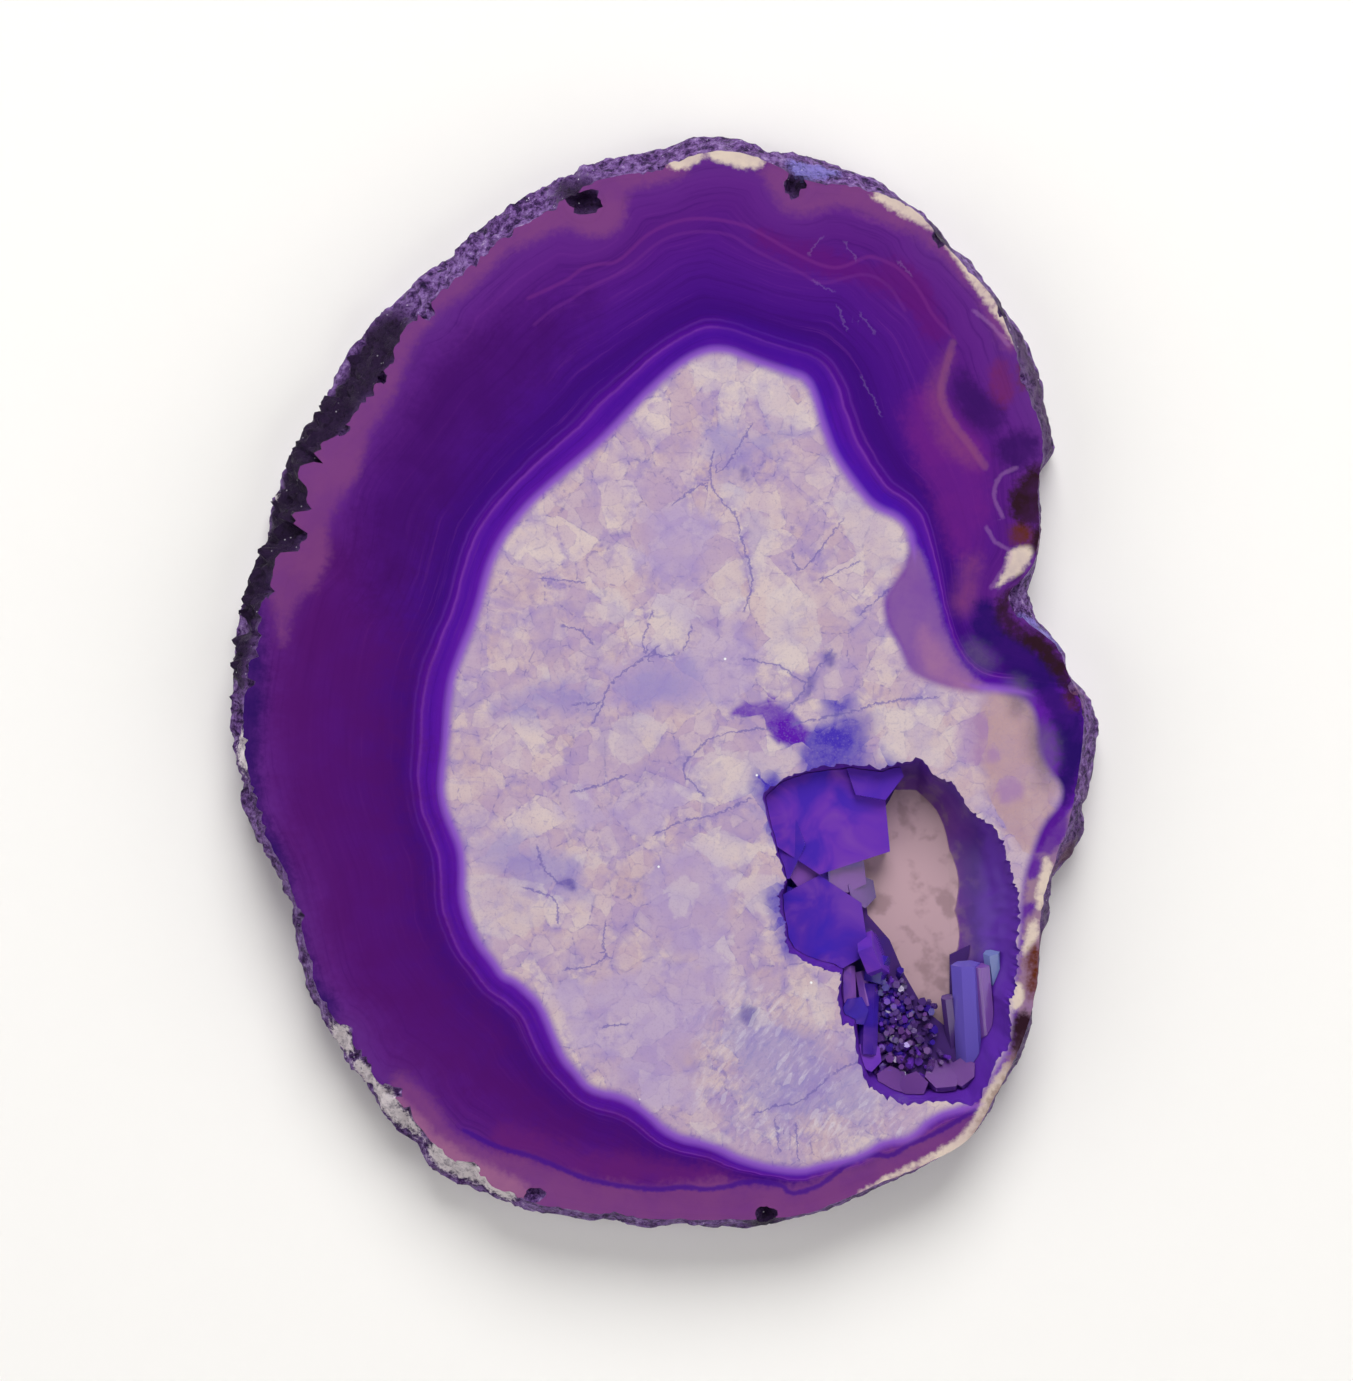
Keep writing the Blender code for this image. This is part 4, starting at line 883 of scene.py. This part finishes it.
def weatheredRind():
    # The nodule's own skin, never polished: gritty chalcedony stained by dye, with painted shade in its
    # crevices and painted glints as pale specks.
    made, tree, shader, spot = startPattern("weatheredRind")
    slow, drift = slowNoise(tree, spot)
    look = rindLook
    grit = add(tree, "TexNoise", {}, {"Vector": spot, "Scale": 1.9, "Detail": 6.0, "Roughness": 0.78})
    # the tone follows the grit that also makes the bumps: the grain's own colour, with painted light on
    # raised grit and painted shade in its pits
    tone = add(tree, "Math", {"operation": "MULTIPLY_ADD"}, {0: slow, 1: 0.35, 2: add(
        tree, "Math", {"operation": "MULTIPLY_ADD"}, {0: grit, 1: 1.5, 2: -0.42})})
    colour = add(tree, "ValToRGB", {"stops": look["tones"]}, {"Fac": tone}, "Color")
    height = add(tree, "SeparateXYZ", {}, {0: spot}, "Z")
    lower = add(tree, "MapRange", {}, {"Value": height, "From Min": look["tintTop"],
                                       "From Max": look["tintBottom"], "To Max": -6.0}, "Result")
    ragged = add(tree, "Math", {"operation": "MULTIPLY_ADD"}, {
        0: grit, 1: 5.0, 2: add(tree, "Math", {"operation": "ADD"}, {0: drift, 1: -2.5})})
    ragged = add(tree, "Math", {"operation": "ADD"}, {0: ragged, 1: lower})
    colour = tinted(tree, colour, rindTints, ragged, grit)
    # painted shade: the rind darkened where the grit, and so the bump, is low
    shade = add(tree, "MapRange", {}, {"Value": grit, "From Min": 0.52, "From Max": 0.34,
                                       "To Max": look["paintedPitShadeShare"]}, "Result")
    colour = add(tree, "MixRGB", {"blend_type": "MULTIPLY"}, {"Fac": shade, "Color1": colour,
                                                              "Color2": look["shade"]})
    # painted glints: pale specks, here and there, over the rind
    cells = add(tree, "TexVoronoi", {}, {"Vector": spot, "Scale": look["grain"]}, "Distance")
    chance = add(tree, "TexNoise", {}, {"Vector": spot, "Scale": 1.3, "Detail": 2.0})
    often = add(tree, "MapRange", {}, {"Value": chance, "From Min": 0.58, "From Max": 0.7,
                                       "To Max": 0.8}, "Result")
    colour = laid(tree, colour, look["paintedSpark"], cells, 0.2, 0.08, where=often, soft=False)
    tree.links.new(colour, shader.inputs["Base Color"])
    dull = add(tree, "MapRange", {}, {"Value": chance, "From Min": 0.35, "From Max": 0.6,
                                      "To Min": look["roughness"][0], "To Max": look["roughness"][1]},
               "Result")
    tree.links.new(dull, shader.inputs["Roughness"])
    shader.inputs["IOR"].default_value = 1.54
    shader.inputs["Specular IOR Level"].default_value = look["specular"]
    rough = add(tree, "Bump", {}, {"Height": grit, "Strength": look["bumpStrength"],
                                   "Distance": look["bump"]}, "Normal")
    tree.links.new(rough, shader.inputs["Normal"])
    return made


pocketLook = {
    # by the distance into the bare floor, in mm: dyed deepest farthest from it
    "far": -2.2, "near": 0.5,
    "tones": [(0.0, "56249A"), (0.25, "481A80"), (0.55, "562082"), (0.76, "683486"), (0.9, "927084"),
              (1.0, "BA9AA2")],
    # greyish-brown clouds over the bare floor, and their strength
    "greyBrownCloud": "8A6E74", "greyBrownCloudShare": 0.6, "roughness": 0.42, "specular": 0.3,
}


def pocketWall():
    # Bare quartz where no crystal stands: smooth, growth-faced, dyed deepest far from the bare floor.
    made, tree, shader, spot = startPattern("bareQuartzWall")
    _, drift = slowNoise(tree, spot)
    look = pocketLook
    inWindow = add(tree, "Attribute", {"attribute_name": "inWindow"}, {}, "Fac")
    moved = add(tree, "Math", {"operation": "MULTIPLY_ADD"}, {0: drift, 1: 0.5, 2: inWindow})
    share = add(tree, "MapRange", {}, {"Value": moved, "From Min": look["far"],
                                       "From Max": look["near"]}, "Result")
    colour = add(tree, "ValToRGB", {"stops": look["tones"]}, {"Fac": share}, "Color")
    cloud = add(tree, "TexNoise", {}, {"Vector": spot, "Scale": 0.7, "Detail": 3.0})
    # greyish-brown clouds, strongest near the bare floor
    colour = laid(tree, colour, look["greyBrownCloud"], cloud, 0.5, 0.68, look["greyBrownCloudShare"], share)
    tree.links.new(colour, shader.inputs["Base Color"])
    shader.inputs["Roughness"].default_value = look["roughness"]
    shader.inputs["IOR"].default_value = 1.54
    shader.inputs["Specular IOR Level"].default_value = look["specular"]
    return made


rind, wall, polish = weatheredRind(), pocketWall(), polishedAgate()
agate = addNodule(rind)
cut(agate, "DIFFERENCE", addPocket(wall, 0, thickness + 2 * stone["spare"], pocket["depth"]))
cut(agate, "DIFFERENCE", addPits(rind, stone["pits"]))
cut(agate, "DIFFERENCE", addPits(rind, stone["chips"]))
cut(agate, "INTERSECT", addSlab(polish))
agate.name = "sawn_agate"
markStone(agate)
bpy.ops.object.shade_smooth_by_angle(angle=math.radians(40))
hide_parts("agate_slice")
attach(agate, "root")
print("stone made", len(agate.data.polygons), "faces", [m.name for m in agate.data.materials])

# The crust: quartz points grown together on the pocket's bottom, trimmed by its walls and by the saw.
crust = {
    "gap": 0.05 * mm, "bedLow": 1.8 * mm, "bedHigh": 2.15 * mm,
    "bed": [(750, 785), (850, 755), (908, 765), (890, 800), (868, 835), (860, 858), (864, 880),
            (868, 915), (890, 940), (905, 975), (925, 1010), (950, 1030), (950, 955), (1012, 925),
            (1020, 1110), (860, 1115), (835, 1020), (760, 975), (760, 880)],
    "tones": {"violet": "8040D4", "indigo": "6A38CC", "ink": "4626B0", "lavender": "826EE2",
              "pinkish": "9A62C8", "sky": "8FA0E0", "mauve": "8450A8", "dusk": "6A4696"},
    # root in photo pixels, its height in mm, heading (0 is +X, 90 is +Y), lean and spin in degrees,
    # radius, length of the prism, height of the tip and its shift towards the heading in mm, and tone
    "crystals": [
        (822, 804, 1.6, -30, 5, 25, 4.3, 2.35, 0.3, 1.2, "violet"),
        (776, 842, 1.6, 190, 12, 20, 2.6, 2.1, 0.3, 0.2, "indigo"),
        (872, 776, 1.6, 70, 8, 10, 1.9, 2.5, 0.3, 0.2, "indigo"),
        (808, 872, 1.6, 20, 6, 10, 1.5, 1.75, 0.15, 0.2, "pinkish"),
        (840, 872, 1.6, -20, 14, 25, 1.3, 1.6, 0.2, 0.2, "mauve"),
        (853, 893, 1.6, 10, 30, 0, 1.1, 1.2, 0.5, 0.2, "dusk"),
        (818, 927, 1.6, -10, 5, 12, 3.4, 1.9, 0.14, 0.5, "indigo"),
        (788, 905, 1.6, 180, 10, 5, 1.3, 1.5, 0.3, 0.2, "ink"),
        (812, 958, 1.6, 230, 16, 5, 1.6, 1.5, 0.3, 0.2, "ink"),
        (866, 957, 2.6, 22, 74, 5, 1.5, 1.0, 1.9, 0.5, "violet"),
        (870, 968, 2.2, -12, 70, 20, 1.1, 1.1, 1.3, 0.3, "ink"),
        (847, 966, 2.6, -88, 82, 8, 0.5, 2.3, 0.5, 0.1, "pinkish"),
        (860, 972, 2.4, -80, 80, 22, 0.4, 2.2, 0.5, 0.1, "pinkish"),
        (838, 975, 1.9, -100, 60, 10, 0.6, 2.2, 0.6, 0.1, "ink"),
        (848, 1012, 1.8, 20, 15, 12, 0.9, 1.7, 0.4, 0.1, "ink"),
        (870, 984, 2.4, -92, 83, 5, 0.62, 4.4, 0.6, 0.1, "ink"),
        (864, 1062, 1.9, 60, 20, 10, 1.0, 1.4, 0.5, 0.1, "violet"),
        (972, 1066, 2.0, 94, 78, 2, 0.85, 6.6, 0.9, 0.2, "lavender"),
        (990, 1060, 2.1, 96, 76, 24, 0.55, 6.2, 0.7, 0.1, "pinkish"),
        (998, 1000, 2.6, 98, 74, 6, 0.6, 3.2, 0.6, 0.1, "sky"),
        (1003, 1052, 2.2, 110, 35, 14, 0.8, 1.8, 0.8, 0.1, "ink"),
        (954, 1050, 1.7, 98, 70, 12, 0.45, 3.6, 0.6, 0.1, "dusk"),
        (888, 1086, 1.8, 60, 20, 4, 1.05, 1.2, 0.3, 0.2, "mauve"),
        (915, 1088, 1.8, 140, 14, 22, 0.9, 1.3, 0.3, 0.1, "mauve"),
        (942, 1086, 1.8, 95, 40, 8, 1.2, 1.3, 0.6, 0.2, "mauve"),
        (968, 1082, 1.8, 120, 36, 2, 1.0, 1.4, 0.6, 0.1, "mauve")],
    # small points: how many, the box they stand in, and their tones
    "druse": [(110, (874, 976, 908, 1030), ("dusk", "ink", "violet")),
              (110, (884, 1000, 930, 1056), ("dusk", "mauve", "ink", "dusk")),
              (80, (872, 1036, 944, 1080), ("dusk", "violet", "mauve")),
              (26, (862, 1072, 985, 1098), ("mauve", "violet", "dusk"))],
    # their root's height, and the spans of their heading, lean, spin, radius, length, tip and shift
    "druseRoot": 1.9, "druseSpans": [(0, 360), (10, 48), (0, 60), (0.12, 0.28), (0.3, 1.0), (0.15, 0.4),
                                     (-0.1, 0.1)],
    "uneven": 0.25,   # how much the sides of a crystal differ
}


def dye(piece, code):   # one colour on all of a piece's faces, which the Booleans carry along
    layer = piece.data.attributes.new("dye", "FLOAT_COLOR", "FACE")
    layer.data.foreach_set("color", linear(code) * len(piece.data.polygons))


def addMasterCrystal():   # a six-sided prism with a six-faced tip, one radius wide and one tall
    bpy.ops.mesh.primitive_cylinder_add(vertices=6, radius=1, depth=1, location=(0, 0, 0.5),
                                        end_fill_type="NGON")
    master = bpy.context.object
    bpy.ops.object.transform_apply(location=True)
    for face in master.data.polygons:
        face.select = face.normal.z > 0.9
    bpy.ops.object.mode_set(mode="EDIT")
    bpy.ops.mesh.select_mode(type="FACE")
    bpy.ops.mesh.extrude_region_move(TRANSFORM_OT_translate={"value": (0, 0, 1)})
    bpy.ops.mesh.merge(type="CENTER")
    bpy.ops.object.mode_set(mode="OBJECT")
    return master


def growCrystal(master, px, py, height, heading, lean, spin, radius, length, tip, shift, tone):
    copy = master.copy()
    copy.data = master.data.copy()
    bpy.context.collection.objects.link(copy)
    x, y = place(px, py)
    turn = (Matrix.Rotation(math.radians(heading), 4, "Z") @ Matrix.Rotation(math.radians(lean), 4, "Y"))
    twist = Matrix.Rotation(math.radians(spin), 4, "Z")
    for vert in copy.data.vertices:
        spot = vert.co.copy()
        level = min(spot.z, 1) * length + max(spot.z - 1, 0) * tip
        side = noise.noise(Vector((spot.x * 1.3, spot.y * 1.3, px * 0.7)))
        wide = radius * (1 + crust["uneven"] * side)
        spot = twist @ Vector((spot.x * wide, spot.y * wide, level))
        if vert.co.z > 1.5:
            spot.x += shift
        vert.co = turn @ (spot * mm) + Vector((x, y, height * mm))
    dye(copy, crust["tones"][tone])
    return copy


def addCrust(material):
    bpy.ops.mesh.primitive_circle_add(vertices=len(crust["bed"]), fill_type="NGON")
    bed = bpy.context.object
    for vert, (px, py) in zip(bed.data.vertices, crust["bed"]):
        vert.co = (*place(px, py), crust["bedLow"])
    bpy.ops.object.mode_set(mode="EDIT")
    bpy.ops.mesh.extrude_region_move(
        TRANSFORM_OT_translate={"value": (0, 0, crust["bedHigh"] - crust["bedLow"])})
    bpy.ops.mesh.select_all(action="SELECT")
    bpy.ops.mesh.normals_make_consistent(inside=False)
    bpy.ops.object.mode_set(mode="OBJECT")
    dye(bed, crust["tones"]["dusk"])
    bed.data.materials.append(material)

    master = addMasterCrystal()
    grown = [growCrystal(master, *row) for row in crust["crystals"]]
    dice = random.Random(21)
    for count, (left, top, right, bottom), tones in crust["druse"]:
        for number in range(count):
            grown.append(growCrystal(
                master, dice.uniform(left, right), dice.uniform(top, bottom), crust["druseRoot"],
                *(dice.uniform(*span) for span in crust["druseSpans"]), tones[number % len(tones)]))
    bpy.data.objects.remove(master, do_unlink=True)
    deselectAll()
    for crystal in grown:
        crystal.data.materials.append(material)
        crystal.select_set(True)
    bpy.context.view_layer.objects.active = grown[0]
    bpy.ops.object.join()
    cut(bed, "UNION", grown[0], True)
    core = addPocket(material, crust["gap"], thickness, pocket["depth"] - crust["gap"])
    dye(core, crust["tones"]["dusk"])
    cut(bed, "INTERSECT", core)
    return keepLargest(bed)


def keepLargest(piece):   # leaves out chips that the walls cut off and voids between crystals
    makeActive(piece)
    bpy.ops.object.mode_set(mode="EDIT")
    bpy.ops.mesh.select_all(action="SELECT")
    bpy.ops.mesh.separate(type="LOOSE")
    bpy.ops.object.mode_set(mode="OBJECT")
    bodies = sorted(bpy.context.selected_objects, key=lambda body: len(body.data.polygons))
    for body in bodies[:-1]:
        bpy.data.objects.remove(body, do_unlink=True)
    return makeActive(bodies[-1])


crystalLook = {
    "rosy": "A060CC", "blue": "4A30D0", "cloudFrom": 15.0, "cloudTo": 11.0,   # clouded left of x, in mm
    "paintedLowShade": "2E1468", "paintedLowShadeFrom": 2.9, "paintedLowShadeTo": 1.9, "paintedLowShadeShare": 0.55,   # painted shade low between the points, and the heights in mm over which it comes in
    "roughness": 0.14, "specular": 0.35, "clearness": 0.4,
    "absorbed": "9A6AE8", "density": 220.0,   # per metre
}


def dyedCrystal():
    # Quartz points, natural faces, dyed violet: glassy and partly clear, with painted shade low between
    # the points.
    made, tree, shader, spot = startPattern("dyedQuartzCrystal")
    look = crystalLook
    tone = add(tree, "Attribute", {"attribute_name": "dye"}, {}, "Color")
    cloud = add(tree, "TexNoise", {}, {"Vector": spot, "Scale": 0.35, "Detail": 3.0, "Distortion": 0.8})
    across = add(tree, "SeparateXYZ", {}, {0: spot}, "X")
    height = add(tree, "SeparateXYZ", {}, {0: spot}, "Z")
    leftHalf = add(tree, "MapRange", {}, {"Value": across, "From Min": look["cloudFrom"],
                                          "From Max": look["cloudTo"]}, "Result")
    tone = laid(tree, tone, look["rosy"], cloud, 0.5, 0.66, 0.5, leftHalf, False)
    tone = laid(tree, tone, look["blue"], cloud, 0.52, 0.36, 0.8, leftHalf, False)
    # painted shade: darker low down, between the points
    tone = laid(tree, tone, look["paintedLowShade"], height, look["paintedLowShadeFrom"], look["paintedLowShadeTo"],
                look["paintedLowShadeShare"], soft=False)
    tree.links.new(tone, shader.inputs["Base Color"])
    shader.inputs["Roughness"].default_value = look["roughness"]
    shader.inputs["IOR"].default_value = 1.544
    shader.inputs["Specular IOR Level"].default_value = look["specular"]
    shader.inputs["Transmission Weight"].default_value = look["clearness"]
    inner = add(tree, "VolumeAbsorption", {}, {
        "Color": look["absorbed"], "Density": look["density"]}, "Volume")
    tree.links.new(inner, tree.nodes["Material Output"].inputs["Volume"])
    return made


crystals = addCrust(dyedCrystal())
crystals.name = "crystal_points"
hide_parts("crystal_crust")
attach(crystals, "root")
print("crust made", len(crystals.data.polygons), "faces")

# Floor, lights and camera: the slice lies down and the camera looks straight down on it.
studio = {
    "lens": 100, "sensor": 36, "offset": (0.69 * mm, -0.56 * mm), "world": 0.03,
    "floorRadius": 0.8, "floorRise": [(1.12, 0.02), (1.08, 0.05), (1.05, 0.1), (1.02, 0.2), (1.0, 0.3)],
    # name, place in metres, size in metres, power in watts
    "lights": [("softTop", (0.05, 0.55, 0.5), 0.5, 5.4), ("fillLeft", (-0.6, -0.1, 0.4), 0.8, 2.2),
               ("fillRight", (0.55, -0.25, 0.45), 0.8, 2.6)],
}


def addFloor():   # a pale sheet that rises at its edge, so that it is behind the stone from every side
    bpy.ops.mesh.primitive_circle_add(vertices=128, radius=studio["floorRadius"], fill_type="NGON")
    floor = bpy.context.object
    floor.name = "floor"
    bpy.ops.object.mode_set(mode="EDIT")
    bpy.ops.mesh.region_to_loop()
    for grow, rise in studio["floorRise"]:
        bpy.ops.mesh.extrude_edges_move(TRANSFORM_OT_translate={"value": (0, 0, rise)})
        bpy.ops.transform.resize(value=(grow, grow, 1), center_override=(0, 0, 0))
    bpy.ops.object.mode_set(mode="OBJECT")
    bpy.ops.object.shade_smooth()
    made, _, shader = startMaterial("mattePaper")
    shader.inputs["Base Color"].default_value = linear("F1EFEC")
    shader.inputs["Roughness"].default_value = 0.9
    floor.data.materials.append(made)


def addLights():
    for name, spot, size, power in studio["lights"]:
        bpy.ops.object.light_add(type="AREA", location=spot)
        lamp = bpy.context.object
        lamp.name = name
        lamp.data.shape, lamp.data.size, lamp.data.energy = "DISK", size, power
        lamp.rotation_euler = (Vector((0, 0, 0)) - Vector(spot)).to_track_quat("-Z", "Y").to_euler()
    world = bpy.data.worlds.new("studio")
    world.use_nodes = True
    world.node_tree.nodes["Background"].inputs["Color"].default_value = linear("E8E8F0")
    world.node_tree.nodes["Background"].inputs["Strength"].default_value = studio["world"]
    bpy.context.scene.world = world


def addCamera():
    rise = photo["height"] * pixel * studio["lens"] / studio["sensor"]
    x, y = studio["offset"]
    bpy.ops.object.camera_add(location=(x, y, thickness / 2 + rise), rotation=(0, 0, 0))
    camera = bpy.context.object
    camera.name = "photoCamera"
    camera.data.lens, camera.data.sensor_width = studio["lens"], studio["sensor"]
    camera.data.clip_start = 0.01
    bpy.context.scene.camera = camera


addFloor()
addLights()
addCamera()
bpy.context.scene.view_settings.view_transform = "Standard"
print("floor, lights and camera placed")
